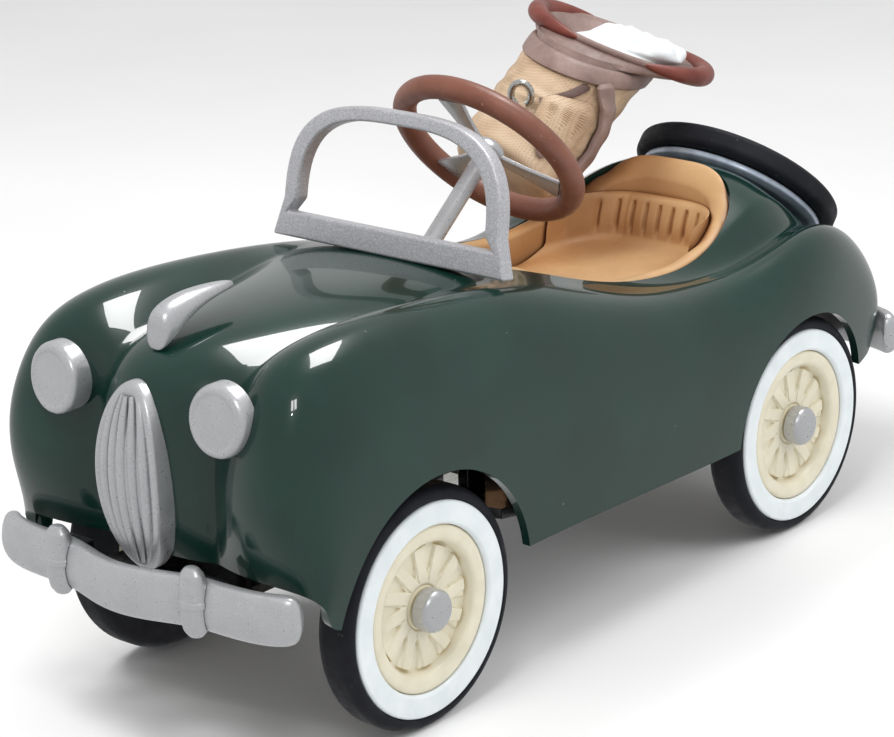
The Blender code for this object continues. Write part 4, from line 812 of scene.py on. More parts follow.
def make_seat():
    """The bench with its pleated back, following the tub's walls."""
    top, front, low = BENCH_TOP, BENCH_FRONT, TUB_FLOOR_Z + 0.1

    def outline(x):
        back = back_y(x)
        groove = PLEAT_DEPTH * (0.5 + 0.5 * math.cos(2 * math.pi * x / PLEAT_PITCH)) ** 6
        points = [(front + 1.8, low), (front, top - 2.0), (front + 0.1, top - 1.3), (front + 0.4, top - 0.6),
                  (front + 0.9, top - 0.15), (front + 1.6, top)]
        for k in range(1, 8):
            t = k / 8
            points.append((front + 1.6 + (back - 1.4 - front - 1.6) * t,
                           top + 0.6 * t * t - 0.25 * math.sin(math.pi * t)))
        points += [(back - 1.4, top + 0.6), (back - 0.5, top + 0.85), (back - 0.1, top + 1.2)]
        for k in range(9):
            t = k / 8
            depth = groove * smooth_step(t, 0.02, 0.2) * (1 - smooth_step(t, 0.86, 1.0))
            points.append((back + 1.1 * t + depth - 0.2 * math.sin(math.pi * t),
                           top + 1.4 + (SEAT_TOP - 0.7 - top - 1.4) * t))
        points += [(back + 1.3, SEAT_TOP - 0.3), (back + 1.8, SEAT_TOP), (36.0, SEAT_TOP), (36.0, low)]
        return [(x, y, z) for y, z in points]

    half_width, count = 10.1, 152
    rings = [outline(-half_width + 2 * half_width * i / count) for i in range(count + 1)]
    seat = loft("bench_seat", rings)
    inside = [cockpit_ring(TUB_GAP + inset, level(z))
              for inset, z in ((3.7, TUB_FLOOR_Z + 0.06), (2.0, TUB_FLOOR_Z + 1.66), (2.0, 44))]
    boolean(seat, loft("seat_space", inside), "INTERSECT")
    dress(seat, "car", "tan_plastic", "seat_insert")


def make_steering():
    """The rim, its three-spoke spider, and the column with its drop arm and pin."""
    across = STEER_AXIS.cross(Vector((1, 0, 0))).normalized()
    path = [STEER_CENTRE + (Vector((math.cos(a), 0, 0)) + across * math.sin(a)) * STEER_R
            for a in ring_angles(120)]
    rim = sweep("steering_wheel_rim", path, STEER_TUBE_R, 28, closed=True)
    dress(rim, "steering", "brown_plastic", "steering_rim")

    turn = STEER_AXIS.to_track_quat("Z", "X").to_matrix().to_4x4()
    profile = rounded([(0, 0.9), (1.25, 0.75), (1.9, 0.2), (2.1, -0.6), (1.5, -1.2), (0, -1.2)], 0.3)
    hub = turned("steering_hub", profile, 48)
    hub.data.transform(Matrix.Translation(mm(STEER_CENTRE)) @ turn)
    reach = STEER_R - STEER_TUBE_R - 0.1
    section = ((-1, -0.75), (1, -0.75), (1, -0.35), (0.55, -0.1), (-0.55, -0.1), (-1, -0.35))
    for angle in (90, 210, 330):
        a = math.radians(angle)
        out = (Vector((math.cos(a), 0, 0)) - across * math.sin(a)).normalized()
        side = STEER_AXIS.cross(out)
        rings = []
        for distance, width in ((0.6, 1.0), (2.2, 0.85), (4.5, 0.95), (6.5, 1.2), (reach, 1.55)):
            centre = STEER_CENTRE + out * distance
            rings.append([centre + side * s * width + STEER_AXIS * h for s, h in section])
        boolean(hub, loft("spoke", rings), "UNION")
    dress(bevel(hub, 0.12, 2), "steering", "silver_paint", "steering_spider")

    column_end, arm_drop, arm_r = 48.7, 2.36, 0.6
    pin_length, pin_r = 2.1, 0.45
    up = Vector((0, -STEER_AXIS.z, STEER_AXIS.y))
    column = rod("steering_shaft", column_point(1.35), column_point(column_end), COLUMN_R, 40)
    root = column_point(column_end - arm_r)
    tip = root + up * arm_drop
    boolean(column, rod("drop_arm", root + up * 0.3, tip + up * 0.35, arm_r, 24), "UNION")
    boolean(column, rod("drop_pin", tip, tip - STEER_AXIS * pin_length, pin_r, 24), "UNION")
    dress(column, "steering", "silver_paint", "steering_column")


# ---------------------------------------------------------------- wheels
SPOKE_PAIRS = 12
SPOKE_TURN = math.radians(19)                   # how far a spoke's outer end is turned from its inner end
DISC_FACE = 0.55                                # height of the wheel disc between the spokes


def bar_height(x, y, turn, width):
    """1 on the flat of the nearest of a layer's bars, 0 off it, with a moulded edge between."""
    angle = math.atan2(y, x)
    pitch = 2 * math.pi / SPOKE_PAIRS
    best = SPOKE_R
    for n in (-1, 0, 1):
        base = (math.floor((angle - turn / 2) / pitch) + n + 0.5) * pitch
        start = Vector((math.cos(base), math.sin(base))) * 1.9
        stop = Vector((math.cos(base + turn), math.sin(base + turn))) * (SPOKE_R + 0.3)
        along = (stop - start).normalized()
        away = Vector((x, y)) - start
        best = min(best, abs(away.x * along.y - away.y * along.x))
    return 1 - smooth_step(best, width / 2 - 0.07, width / 2 + 0.10)


def spoke_relief(x, y, height):
    """Two layers of broad flat spokes leaning opposite ways, moulded on the wheel's disc."""
    if height != DISC_FACE:
        return height
    radius = math.hypot(x, y)
    fade = smooth_step(radius, 2.0, 2.5) * (1 - smooth_step(radius, SPOKE_R - 0.12, SPOKE_R + 0.05))
    upper = bar_height(x, y, SPOKE_TURN, 1.34)
    lower = bar_height(x, y, -SPOKE_TURN, 1.2)
    return height + fade * max(upper * 0.4, lower * 0.25)


def wheel_disc(name):
    """The cream disc with its hub, its spokes in relief and its rolled rim."""
    profile = [(BORE_R, 1.1), (2.0, 1.1), (2.3, DISC_FACE + 0.3)]
    profile += [(2.4 + (SPOKE_R - 2.4) * k / 30, DISC_FACE) for k in range(31)]
    profile += [(6.7, 0.62), (6.82, 0.95), (6.95, 1.5), (7.15, 1.78), (7.5, 1.9), (8.1, 1.98), (8.45, 1.96),
                (RIM_R - 0.02, 1.8), (RIM_R, 1.6), (RIM_R, -1.9), (8.0, -1.9), (7.6, -0.3), (2.4, -0.3),
                (2.2, -2.3), (BORE_R, -2.3)]
    return turned(name, profile, 288, spoke_relief)


def wheel_profiles():
    """Turned outlines of the tyre, the whitewall and the hub cap, as (radius, height) points."""
    w = TYRE_HALF_WIDTH
    tyre = rounded([(WHITEWALL_R + 0.06, w - 0.95), (WHITEWALL_R + 0.06, w - 0.12), (12.15, w - 0.25),
                    (TYRE_R, w - 1.0), (TYRE_R, -w + 1.0), (12.1, -w + 0.15), (RIM_R + 0.35, -w),
                    (RIM_R + 0.06, -w + 0.35), (RIM_R + 0.06, w - 0.95)], 0.5)
    whitewall = rounded([(RIM_R + 0.06, w - 0.9), (RIM_R + 0.06, w - 0.3), (RIM_R + 0.35, w),
                         (WHITEWALL_R - 0.2, w), (WHITEWALL_R, w - 0.2), (WHITEWALL_R, w - 0.9)], 0.25)
    cap = rounded([(0, 3.3), (1.8, 3.24), (HUB_CAP_R, 2.75), (HUB_CAP_R, 1.21), (0, 1.21)], 0.35, 5)
    return tyre, whitewall, cap


def make_wheels():
    """Five wheels: four on the road, and the thinner spare on the tail deck."""
    tyre, whitewall, cap = wheel_profiles()
    masters = {
        "tyre": (turned("tyre_master", tyre), "tyre_rubber"),
        "whitewall": (turned("whitewall_master", whitewall), "white_rubber"),
        "spoked_wheel": (wheel_disc("disc_master"), "cream_plastic"),
        "hub_cap": (turned("cap_master", cap, 64), "silver_paint"),
    }
    places = []
    for side, name in ((1, "left"), (-1, "right")):
        outward = Vector((side, 0, 0)).to_track_quat("Z", "Y").to_matrix().to_4x4()
        for end, y in (("front", -HALF_BASE), ("rear", HALF_BASE)):
            body = "rear_axle" if (end, name) == ("rear", "left") else f"{end}_wheel_{name}"
            hub = Matrix.Translation(mm(side * WHEEL_X, y, AXLE_Z))
            places.append((f"{end}_{name}", body, hub @ outward))
    tilt = Matrix.Rotation(-SPARE_TILT, 4, "X")
    flat = Matrix.Diagonal((1, 1, SPARE_FLATNESS, 1))
    places.append(("spare", "car", Matrix.Translation(mm(SPARE_CENTRE)) @ tilt @ flat))
    for prefix, body, place in places:
        for piece, (master, slot) in masters.items():
            mesh = master.data.copy()
            mesh.transform(place)
            dress(add(f"{prefix}_{piece}_fine", mesh), body, slot, f"{prefix}_{piece}")
    for master, slot in masters.values():
        bpy.data.objects.remove(master, do_unlink=True)
    under = -TYRE_HALF_WIDTH * SPARE_FLATNESS - 0.06
    profile = rounded([(9.0, under), (WHITEWALL_R + 0.2, under), (WHITEWALL_R + 0.25, under - 0.7),
                       (10.6, under - 1.1), (9.0, under - 1.1)], 0.25)
    ring = turned("spare_ring", profile)
    ring.data.transform(Matrix.Translation(mm(SPARE_CENTRE)) @ tilt)
    boolean(ring, skin_cutter("deck_seat"))
    dress(ring, "car", "silver_paint", "spare_seat_ring", finish=SEAT_RING)


# ---------------------------------------------------------------- trim
def bumper_bow(x):
    """How far out the bar's centre line stands at x; it bows, more so between the guards."""
    whole = 1 - (x / BUMPER_END.x) ** 8
    between = math.cos(math.pi * x / 21) ** 2 if abs(x) < 10.5 else 0
    return BUMPER_END.y + 2.1 * whole + 2.0 * between


def spread(count):
    """Numbers from -1 to 1 in equal steps."""
    return [-1 + 2 * k / (count - 1) for k in range(count)]


def bumper_rings(sign, grow=0.0):
    """Cross-sections of the bar from side to side; sign is -1 at the nose and 1 at the tail."""
    section = smooth_loop([(0.35, 2.75), (1.1, 2.3), (1.55, 0.9), (1.7, -0.6), (1.35, -2.0), (0.5, -2.75),
                           (-0.7, -2.4), (-0.95, 0), (-0.7, 2.4)])
    rings = []
    for t in spread(81):
        end = abs(t)
        x = BUMPER_END.x * math.sin(t * math.pi / 2)
        centre = Vector((x, bumper_bow(x) - 0.6 * end ** 12, BUMPER_END.z))
        turn = math.atan2(bumper_bow(x + 0.1) - bumper_bow(x - 0.1), 0.2)
        shrink = 1 - end ** 14 * 0.7
        outward = Vector((-math.sin(turn), math.cos(turn), 0))
        ring = []
        for a, b in section:
            a, b = a + math.copysign(grow, a), b + math.copysign(grow, b)
            point = centre + outward * (a * shrink) + Vector((0, 0, b * shrink))
            ring.append((point.x, sign * point.y, point.z))
        rings.append(ring)
    return rings


def smooth_loop(points, steps=4):
    """A closed loop through the points' middles, rounding each corner."""
    loop = []
    count = len(points)
    for i in range(count):
        before, here, after = (Vector(points[k % count]) for k in (i - 1, i, i + 1))
        start, stop = (before + here) / 2, (here + after) / 2
        for k in range(steps):
            t = k / steps
            loop.append(tuple((1 - t) ** 2 * start + 2 * t * (1 - t) * here + t * t * stop))
    return loop


def make_bumper(end, sign):
    """A D-section bar, bowed outward, with its two upright guards."""
    bar = loft(f"{end}_bumper_bar", bumper_rings(sign))
    dress(bar, "car", "silver_paint", f"{end}_bumper")
    half = [(0.75, 3.55), (1.3, 2.9), (1.58, 1.6), (1.62, 0.35), (1.78, 0.3)]
    profile = rounded([(0, 3.75)] + half + [(r, -z) for r, z in half[::-1]] + [(0, -3.75)], 0.2)
    flatter = Matrix.Diagonal((1, 0.8, 1, 1))
    for side, name in ((1, "left"), (-1, "right")):
        guard = turned(f"{end}_guard_{name}", profile, 56)
        middle = mm(side * OVERRIDER_X, sign * (bumper_bow(OVERRIDER_X) + 1.3), BUMPER_END.z + 0.5)
        guard.data.transform(Matrix.Translation(middle) @ flatter)
        boolean(guard, loft("clasp", bumper_rings(sign, 0.06)))
        dress(guard, "car", "silver_paint", f"{end}_overrider_{name}")


def make_grille():
    """The tall oval grille: a rolled rim round a bowed face with upright ribs."""
    half_width, half_height, middle = 4.25, 9.75, 28.8

    def ring_at(inset, forward):
        ring = []
        for a in ring_angles(72):
            x = math.cos(a) * (half_width - inset)
            dz = math.sin(a) * (half_height - inset * 1.6)
            edge = skin_front(math.cos(a) * half_width, max(middle + math.sin(a) * half_height, NOSE_LOW_Z))
            here = skin_front(x, max(middle + dz, NOSE_LOW_Z))
            bow = -52.2 - 1.7 * (1 - (dz / half_height) ** 2)
            sunk = 0.35 * smooth_step(middle + dz, 24.2, 25.6) - 0.06
            y = here + sunk if forward is None else min(bow - forward, here - 0.3, edge - 0.1 - forward)
            ring.append((x, y, middle + dz))
        return ring

    stations = [(2.6, None), (0.9, None), (0, None), (0, 0.05), (0.08, 0.28), (0.2, 0.42), (0.4, 0.5),
                (0.6, 0.46), (0.8, 0.35), (0.95, 0.25), (1.1, 0.2), (1.5, 0.28), (2.4, 0.6), (3.2, 0.8),
                (3.9, 0.9)]
    grille = loft("grille_shell", [ring_at(inset, forward) for inset, forward in stations])
    boolean(grille, skin_cutter("grille_seat"))
    reach, pitch = 8.5, 1.34
    for n in range(-2, 3):
        path = []
        radii = []
        for t in spread(31):
            z = reach * t
            x = n * pitch * math.sqrt(1 - (z / 9.4) ** 2)
            path.append((x, -52.9 - 1.7 * (1 - (z / half_height) ** 2) + abs(n) * 0.2, middle + z))
            radii.append(0.56 * (1 - 0.6 * abs(t) ** 3))
        boolean(grille, sweep("rib", path, radii, 16), "UNION")
    dress(grille, "car", "silver_paint", "grille")


def make_headlamp(side, name):
    """A shallow domed lamp with a rounded bezel; its back follows the body's skin."""
    centre_x, centre_z, face = 11.15, 36.7, -52.0
    front = [(3.62, 0.0), (3.58, 0.3), (3.44, 0.58), (3.22, 0.76), (3.0, 0.82), (2.8, 0.77), (2.68, 0.7),
             (2.5, 0.7), (2.0, 0.74), (1.4, 0.78), (0.8, 0.8), (0.3, 0.81)]
    rings = []
    for radius, depth in [(0.6, None), (1.8, None), (3.0, None), (3.6, None)] + front:
        ring = []
        for a in ring_angles(72):
            x, z = centre_x + math.cos(a) * radius * 0.95, centre_z + math.sin(a) * radius
            plane = face + 0.10 * (z - centre_z) + 0.06 * (x - centre_x)
            y = min(skin_front(x, z), face + 1.2) + 0.35 if depth is None else plane - depth
            ring.append((side * x, y, z))
        rings.append(ring)
    lamp = loft(f"lamp_{name}", rings)
    boolean(lamp, skin_cutter("lamp_seat"))
    dress(lamp, "car", "silver_paint", f"headlamp_{name}")


def make_mascot():
    """The streamlined bonnet ornament: blunt and seated in front, its tapering tail lifted clear."""
    stations = ((-49.1, 0.9, 43.6, 0.0), (-48.9, 1.4, 44.5, 0.0), (-48.2, 1.75, 45.2, 0.1),
                (-46.8, 1.8, 45.6, 0.7), (-45.0, 1.7, 45.8, 1.4), (-43.0, 1.45, 45.75, 1.85),
                (-41.0, 1.15, 45.6, 2.05), (-39.4, 0.8, 45.4, 2.1), (-38.4, 0.5, 45.15, 2.15),
                (-38.0, 0.22, 44.95, 2.2))
    section = ((-0.8, 0), (-1, 0.3), (-0.72, 0.8), (0, 1), (0.72, 0.8), (1, 0.3), (0.8, 0))
    rings = []
    for y, width, top, lift in stations:
        base = max(skin_z(0, y), skin_z(width, y)) + 0.08 + lift
        rings.append([(width * across, y, base + (top - base) * high) for across, high in section])
    mascot = subdivide(loft("bonnet_mascot", rings), 3)
    dress(mascot, "car", "silver_paint", "hood_mascot")


def make_windshield():
    """The flat, open D-shaped frame, raked back, with a deep bottom bar."""
    rake = math.radians(11)
    half_base, height, thick = 16.0, 15.2, 1.9
    shoulder = 4.2                              # height of the widest point of the arch above the base
    base = Vector((0, -15.5, 41.75))
    up = Vector((0, math.sin(rake), math.cos(rake)))
    back = Vector((0, math.cos(rake), -math.sin(rake)))

    def arch(inset, bottom):
        points = [(half_base - inset, bottom)]
        for k in range(57):
            a = math.pi * k / 56
            c, s = math.cos(a), math.sin(a)
            x = math.copysign(abs(c) ** 0.62, c) * (half_base - 1.2 - inset)
            z = shoulder + (height - shoulder - inset * 0.8) * abs(s) ** 0.72
            points.append((x, z))
        points.append((-(half_base - inset), bottom))
        return points

    def place(points, depth):
        return [base + Vector((x, 0, 0)) + up * z + back * depth for x, z in points]

    outer = arch(0, 0)
    shield = loft("windshield", [place(outer, 0), place(outer, thick)])
    bar_width, bottom_bar, clearance = 1.9, 2.7, 2
    inner = arch(bar_width, bottom_bar)
    boolean(shield, loft("opening", [place(inner, -clearance), place(inner, thick + clearance)]))
    bevel(shield, 0.55, 5, 30)
    boolean(shield, skin_cutter("windshield_seat"))
    dress(shield, "car", "silver_paint", "windshield_frame", finish=WINDSHIELD_SILVER)


# ---------------------------------------------------------------- golf bag
def bag_frame():
    """The bag's own directions: along it, across it, and the way that its pocket faces."""
    along = BAG_AXIS.normalized()
    facing = (BAG_FACING - along * BAG_FACING.dot(along)).normalized()
    return along, facing.cross(along).normalized(), facing


ALONG, ACROSS, FACING = bag_frame()
LONG = (ACROSS - BAG_MOUTH_NORMAL * ACROSS.dot(BAG_MOUTH_NORMAL)).normalized()
WIDE = BAG_MOUTH_NORMAL.cross(LONG)
if WIDE.dot(FACING) < 0:
    WIDE = -WIDE
MOUTH_LONG = 10.7                               # half the mouth, along LONG and along WIDE
MOUTH_WIDE = 8.6
BAG_GIRTH_R = 6.8                               # turns a distance round the bag into an angle
LIP_REACH = 66                                  # degrees of the mouth that a lip covers each side of its lobe


def bag_point(angle, distance, radius, slant=0.0):
    """A point round the bag; slant turns the section from square-cut to the plane of the mouth."""
    out = ACROSS * math.cos(angle) + FACING * math.sin(angle)
    slide = -out.dot(BAG_MOUTH_NORMAL) / ALONG.dot(BAG_MOUTH_NORMAL)
    return BAG_FOOT + ALONG * (distance + slide * radius * slant) + out * radius


def bag_radius(distance):
    """The bag's plain radius at a distance from its foot."""
    return interpolate([(0, 6.3), (3, 6.6), (10, 6.9), (23, 6.9)], distance)


def bag_slant(distance):
    """How far the section there has turned from square-cut to the plane of the mouth, 0 to 1."""
    return smooth_step(distance, 4, 17)


def bag_swell(angle, distance):
    """Soft dents and swells of the moulded canvas, in millimetres off the plain cylinder."""
    middle = smooth_step(distance, 0.5, 3) * (1 - smooth_step(distance, 17.5, 20))
    swell = 0.10 * math.sin(2 * angle + 0.35 * distance)
    dent = 0.16 * math.sin(0.9 * distance + angle) ** 2
    return middle * (swell - dent)


def bag_section(distance, radius, slant=0.0, count=96, swell=False):
    """A ring round the bag, plain or with its dents."""
    return [bag_point(a, distance, radius + (bag_swell(a, distance) if swell else 0), slant)
            for a in ring_angles(count)]


def bag_skin(distance):
    """The bag's own section at a distance from its foot, with its dents and its turn towards the mouth."""
    return bag_section(distance, bag_radius(distance - 1), bag_slant(distance), swell=True)


def mouth_section(scale, height, count=96, drift=0.0):
    """A ring in the plane of the mouth; the mouth is drawn out to the near and rear side."""
    centre = BAG_MOUTH + BAG_MOUTH_NORMAL * height + LONG * drift
    return [centre + LONG * math.cos(a) * MOUTH_LONG * scale + WIDE * math.sin(a) * MOUTH_WIDE * scale
            for a in ring_angles(count)]


def curve(before, start, stop, after, t):
    """A number on the smooth curve from start to stop, between the ones before and after them."""
    bend = 2 * before - 5 * start + 4 * stop - after
    twist = 3 * start - before - 3 * stop + after
    return 0.5 * (2 * start + (stop - before) * t + bend * t * t + twist * t ** 3)


def bag_ribbon(name, route, width, thick, nodes=(), lift=0.1, finish=None):
    """A strip laid on the bag along (angle in degrees, distance) points, with rolled edges."""
    steps = 10
    path = []
    for i in range(len(route) - 1):
        before, start = route[max(i - 1, 0)], route[i]
        stop, after = route[i + 1], route[min(i + 2, len(route) - 1)]
        for k in range(steps):
            t = k / steps
            path.append([curve(*numbers, t) for numbers in zip(before, start, stop, after)])
    path.append(list(route[-1]))
    section = [(-1, 0.0), (-1, 0.45), (-0.86, 0.85), (-0.6, 1.0), (0, 1.06), (0.6, 1.0), (0.86, 0.85),
               (1, 0.45), (1, 0.0)]
    rings = []
    for i, (angle, distance) in enumerate(path):
        ahead, behind = path[min(i + 1, len(path) - 1)], path[max(i - 1, 0)]
        round_bag = math.radians(ahead[0] - behind[0]) * BAG_GIRTH_R
        run = Vector((round_bag, ahead[1] - behind[1])).normalized()
        taper = min(1, 0.55 + i * 0.15, 0.55 + (len(path) - 1 - i) * 0.15)
        ring = []
        for across, high in section:
            shift = across * width / 2 * taper
            a = math.radians(angle) - run.y * shift / BAG_GIRTH_R
            d = distance + run.x * shift
            out = bag_radius(d) + bag_swell(a, d) + lift + high * thick * taper
            ring.append(bag_point(a, d, out, bag_slant(d)))
        rings.append(ring)
    dress(loft(name, rings), "car", "bag_leather", *nodes, finish=finish)


def make_bag():
    """The bag's canvas body, hollow at the mouth."""
    foot = ((0, 5.6), (0.1, 5.95), (0.35, 6.2), (0.9, bag_radius(0.9)))
    outside = [bag_section(distance, radius) for distance, radius in foot]
    steps = 44
    outside += [bag_skin(1 + k * (BAG_TOP - 1) / steps) for k in range(1, steps + 1)]
    inside = [bag_section(BAG_TOP, 6.0, 1), bag_section(BAG_TOP - 4, 5.5, 1)]
    dress(loft("bag_canvas_body", outside + inside), "car", "bag_canvas", "bag_body")


def make_bag_flare():
    """The brown wall that opens from the neck to the mouth, with the towel's throat inside."""
    neck, shoulder, flare = BAG_TOP + 0.12, bag_section(BAG_TOP + 1.2, 7.2, 1), mouth_section(1.0, -0.3)
    shaped = [bag_section(neck, 6.9, 1), shoulder]
    for k in range(1, 8):
        t = k / 8
        sag = BAG_MOUTH_NORMAL * 0.7 * math.sin(math.pi * t)
        shaped.append([a + (b - a) * (t ** 1.25) - sag for a, b in zip(shoulder, flare)])
    lip = [mouth_section(0.95 + 0.05 * math.cos(a), 0.05 + 0.42 * math.sin(a))
           for a in (math.radians(-55 + 22 * k) for k in range(11))]
    inner, throat = bag_section(neck, 6.1, 1), mouth_section(0.85, -0.1)
    halfway = [a.lerp(b, 0.5) for a, b in zip(throat, inner)]
    wall = loft("bag_flare", shaped + lip + [throat, halfway, inner], closed_path=True)
    dress(wall, "car", "bag_leather")


def make_bag_pocket():
    """The long side pocket, puffed and wrinkled, its ends drawn in."""
    length, middle_distance = 12.0, 9.0
    half_width, thick = 2.85, 1.25
    rings = []
    for t in spread(33):
        distance = middle_distance + t * length / 2
        middle = math.radians(110 - 5 * (t + 1) / 2)
        base = bag_radius(distance) + 0.12
        inner_line = []
        outer_line = []
        for k in spread(25):
            angle = middle + k * half_width * (1 - abs(t) ** 5 * 0.45) / 6.4
            puff = thick * (1 - abs(t) ** 6 * 0.75) * (1 - 0.55 * abs(k) ** 4)
            puff *= 1 - 0.10 * math.sin(4.2 * distance + 3 * k) ** 2
            inner_line.append(bag_point(angle, distance, base, bag_slant(distance)))
            outer_line.append(bag_point(angle, distance, base + puff, bag_slant(distance)))
        rings.append(inner_line + outer_line[::-1])
    dress(loft("bag_side_pocket", rings), "car", "bag_canvas", "bag_pocket")


def make_bag_lip():
    """The red roll over the mouth's edge, thick over the two lobes and run out between them."""
    for lobe, middle in (("near", 0), ("far", 180)):
        path = []
        radii = []
        for t in spread(49):
            a = math.radians(middle + LIP_REACH * t)
            out = LONG * math.cos(a) * (MOUTH_LONG - 0.1) + WIDE * math.sin(a) * (MOUTH_WIDE - 0.1)
            path.append(BAG_MOUTH + out + BAG_MOUTH_NORMAL * 0.05)
            radii.append(0.15 + 1.05 * max(0, math.cos(t * math.pi / 2)) ** 0.6)
        roll = sweep(f"bag_lip_{lobe}", path, radii, 24)
        nodes = ("bag_rim",) if lobe == "near" else ()
        dress(roll, "car", "bag_red_leather", *nodes)


def make_bag_trim():
    """The collar, strap, slit and pocket edging, each laid along the bag as (angle, distance) points."""
    bag_ribbon("bag_collar", [(angle, 19.3) for angle in range(0, 361, 15)], 2.6, 0.35)
    strap = ((118, 18.6), (130, 16.4), (142, 13.8), (152, 10.6), (159, 7.2), (163, 3.6), (162, 1.6))
    bag_ribbon("bag_shoulder_strap", strap, 1.7, 0.8, nodes=("bag_strap",), lift=0.3)
    slit = ((108, 17.6), (101, 16.2), (93, 14.6), (85, 12.9))
    # painted shade: the slit is drawn as a dark strip standing for its shaded opening
    bag_ribbon("bag_pocket_slit", slit, 1.2, 0.3, finish=SLIT_SHADE)
    trim = ((82, 12.4), (86, 9.6), (93, 6.8), (102, 4.2), (114, 2.0))
    bag_ribbon("bag_pocket_trim", trim, 1.3, 0.4)


def make_eye():
    """The open wire eye that the ornament hangs by, standing on the bag's pocket side."""
    foot, lift, half_height, half_width, wire_r = 6.0, 1.6, 1.45, 1.15, 0.42
    angle = math.radians(68)
    base = bag_point(angle, foot, bag_radius(foot), bag_slant(foot))
    out = ACROSS * math.cos(angle) + FACING * math.sin(angle)
    side = out.cross(Vector((0, 0, 1))).normalized()
    rise = (out * 0.45 + Vector((0, 0, 1))).normalized()
    path = [base + rise * (lift + math.sin(a) * half_height) + side * math.cos(a) * half_width
            for a in (math.radians(-62 + 304 * k / 40) for k in range(41))]
    dress(sweep("hanging_wire_eye", path, wire_r, 20), "car", "steel", "hanging_eye")


def make_towel():
    """The towel crumpled in the mouth in soft folds, leaning to the far lobe."""
    folds = ((0.50, -0.2, -1.2, 0.1), (0.54, 0.3, -2.0, 0.4), (0.52, 0.8, -2.6, 1), (0.44, 1.3, -3.0, 1),
             (0.28, 1.8, -3.2, 1), (0.10, 2.0, -3.2, 0.5))
    count = 16
    rings = [bag_section(BAG_TOP - 3.9, 5.1, 1, count), bag_section(BAG_TOP + 0.1, 5.6, 1, count)]
    for scale, height, drift, crumple in folds:
        flat = mouth_section(scale, height, count, drift)
        middle = sum(flat, Vector()) / count
        ring = []
        for a, point in zip(ring_angles(count), flat):
            grow = 1 + crumple * (0.10 * math.sin(3 * a + height) + 0.05 * math.sin(5 * a + 1.3 * height))
            ring.append(middle + (point - middle) * grow)
        rings.append(ring)
    towel = subdivide(loft("towel", rings), 4)
    centre = mm(BAG_MOUTH)
    outward = [vertex.normal.copy() for vertex in towel.data.vertices]
    for vertex, normal in zip(towel.data.vertices, outward):
        out = smooth_step((vertex.co - centre).dot(BAG_MOUTH_NORMAL) / MM, 0.2, 1.4)
        place = vertex.co / MM
        fold = noise.noise(place * 0.28 + Vector((3, 1, 7)))
        wrinkle = noise.noise(place * 0.75)
        vertex.co += normal * out * (1.5 * fold + 0.4 * wrinkle) * MM
    towel.data.update()
    dress(towel, "car", "towel_white", "bag_towel")


# ---------------------------------------------------------------- carried-over CAD parts
def dress_cad_nodes():
    """The chassis and mechanism keep their CAD shapes, with welded, rounded edges and full materials."""
    slots = {row["node"]: row["material_slot"] for row in frame["record"]["subparts"]}
    for name, node in frame["nodes"].items():
        if node.hide_render:
            continue
        node.data.materials.clear()
        node.data.materials.append(FINISHES[slots[name]])
        weld = node.modifiers.new("Weld", "WELD")
        weld.merge_threshold = 2e-6
        edges = node.modifiers.new("Rounded edges", "BEVEL")
        edges.width = 0.07 * MM
        edges.segments = 2
        edges.limit_method = "ANGLE"
        edges.angle_limit = math.radians(40)


# ---------------------------------------------------------------- studio
CAMERA_AZIMUTH = math.radians(40.06)
CAMERA_ELEVATION = math.radians(19.93)
CAMERA_ROLL = math.radians(-1.89)
CAMERA_TARGET = (0, 0, 17.98)
CAMERA_DISTANCE = 332.0
CAMERA_LENS = 120.8
CAMERA_SHIFT = (-0.0432, 0.0677)                # only as large as the framing needs
WORLD_STRENGTH = 0.62


def make_camera():
    """A long lens looking down on the left front corner."""
    data = bpy.data.cameras.new("Camera")
    data.sensor_width = 36
    data.lens = CAMERA_LENS
    data.shift_x, data.shift_y = CAMERA_SHIFT
    data.clip_start, data.clip_end = 0.01, 10
    camera = bpy.data.objects.new("Camera", data)
    bpy.context.scene.collection.objects.link(camera)
    a, e = CAMERA_AZIMUTH, CAMERA_ELEVATION
    back = Vector((math.sin(a) * math.cos(e), -math.cos(a) * math.cos(e), math.sin(e)))
    camera.location = mm(Vector(CAMERA_TARGET) + back * CAMERA_DISTANCE)
    turn = (-back).to_track_quat("-Z", "Y").to_matrix() @ Matrix.Rotation(CAMERA_ROLL, 3, "Z")
    camera.rotation_euler = turn.to_euler()
    bpy.context.scene.camera = camera


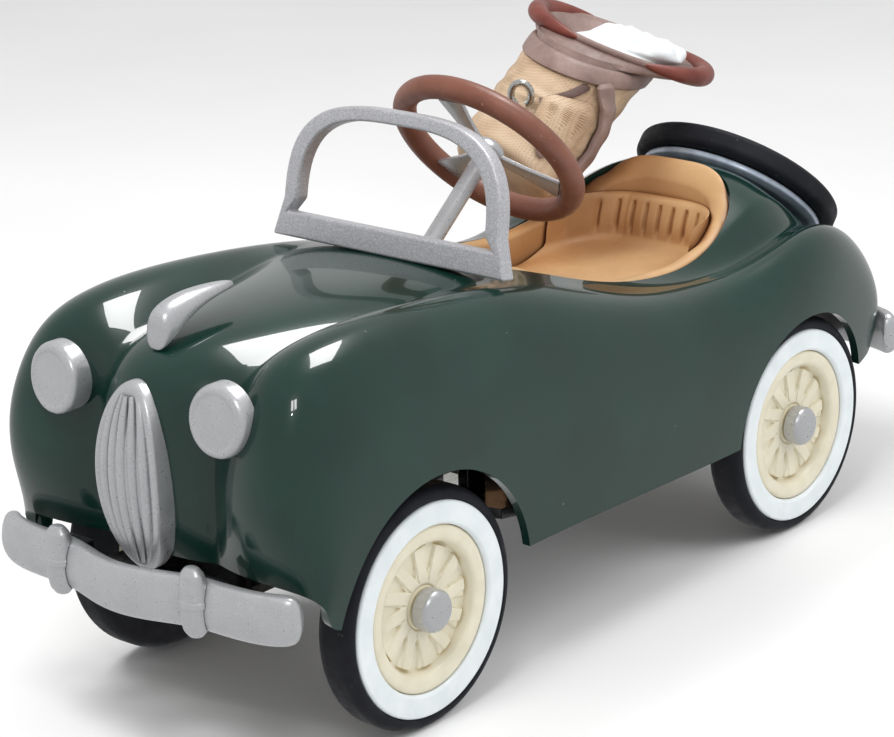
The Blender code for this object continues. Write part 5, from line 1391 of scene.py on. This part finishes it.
def soft_light(name, place, size, power, stretch=1.0, lights=True, shines=True):
    """A soft panel aimed at the car; it may only light surfaces, or only show as a shine on them."""
    data = bpy.data.lights.new(name, "AREA")
    data.shape = "RECTANGLE"
    data.size = size * MM
    data.size_y = size * stretch * MM
    data.energy = power
    light = bpy.data.objects.new(name, data)
    bpy.context.scene.collection.objects.link(light)
    light.location = mm(place)
    light.rotation_euler = (mm(0, 0, 25) - mm(place)).to_track_quat("-Z", "Y").to_euler()
    light.visible_diffuse = lights
    light.visible_glossy = shines


def make_studio():
    """A white floor, an overcast world, soft panels, and the window panes that shine in the paint."""
    size = 3000 * MM
    mesh = bpy.data.meshes.new("floor")
    corners = [(-size, -size, 0), (size, -size, 0), (size, size, 0), (-size, size, 0)]
    mesh.from_pydata(corners, [], [(0, 1, 2, 3)])
    floor = bpy.data.objects.new("floor", mesh)
    bpy.context.scene.collection.objects.link(floor)
    paint = Paint("floor_white", 0.9, specular=0.1)
    paint.colour(paint.cloud(60, 2, (0.86, 0.86, 0.86, 1), (0.9, 0.9, 0.9, 1)))
    mesh.materials.append(paint.material)
    floor.visible_glossy = False

    world = bpy.data.worlds.new("studio")
    bpy.context.scene.world = world
    world.use_nodes = True
    background = world.node_tree.nodes["Background"]
    background.inputs["Color"].default_value = WHITE
    background.inputs["Strength"].default_value = WORLD_STRENGTH

    soft_light("key_left", (-140, -120, 330), 120, 0.5, shines=False)
    soft_light("key_right", (60, -170, 320), 120, 0.45, shines=False)
    soft_light("fill", (260, 120, 260), 260, 0.6, shines=False)
    soft_light("high_window", (48, 152, 393), 190, 1.2, 0.6, lights=False)
    for x, y in ((215, -165), (238, -135)):
        soft_light("low_window", (x, y, 290), 26, 0.075, 2.2, lights=False)
    soft_light("flash", (240, -190, 262), 7, 0.03, lights=False)
    bpy.context.scene.view_settings.view_transform = "Standard"


def main():
    make_body()
    make_tub()
    make_seat()
    make_steering()
    make_wheels()
    make_bumper("front", -1)
    make_bumper("rear", 1)
    make_grille()
    make_headlamp(1, "left")
    make_headlamp(-1, "right")
    make_mascot()
    make_windshield()
    make_bag()
    make_bag_flare()
    make_bag_lip()
    make_bag_pocket()
    make_bag_trim()
    make_eye()
    make_towel()
    dress_cad_nodes()
    make_camera()
    make_studio()


main()


def write_sizes():
    import json


write_sizes()
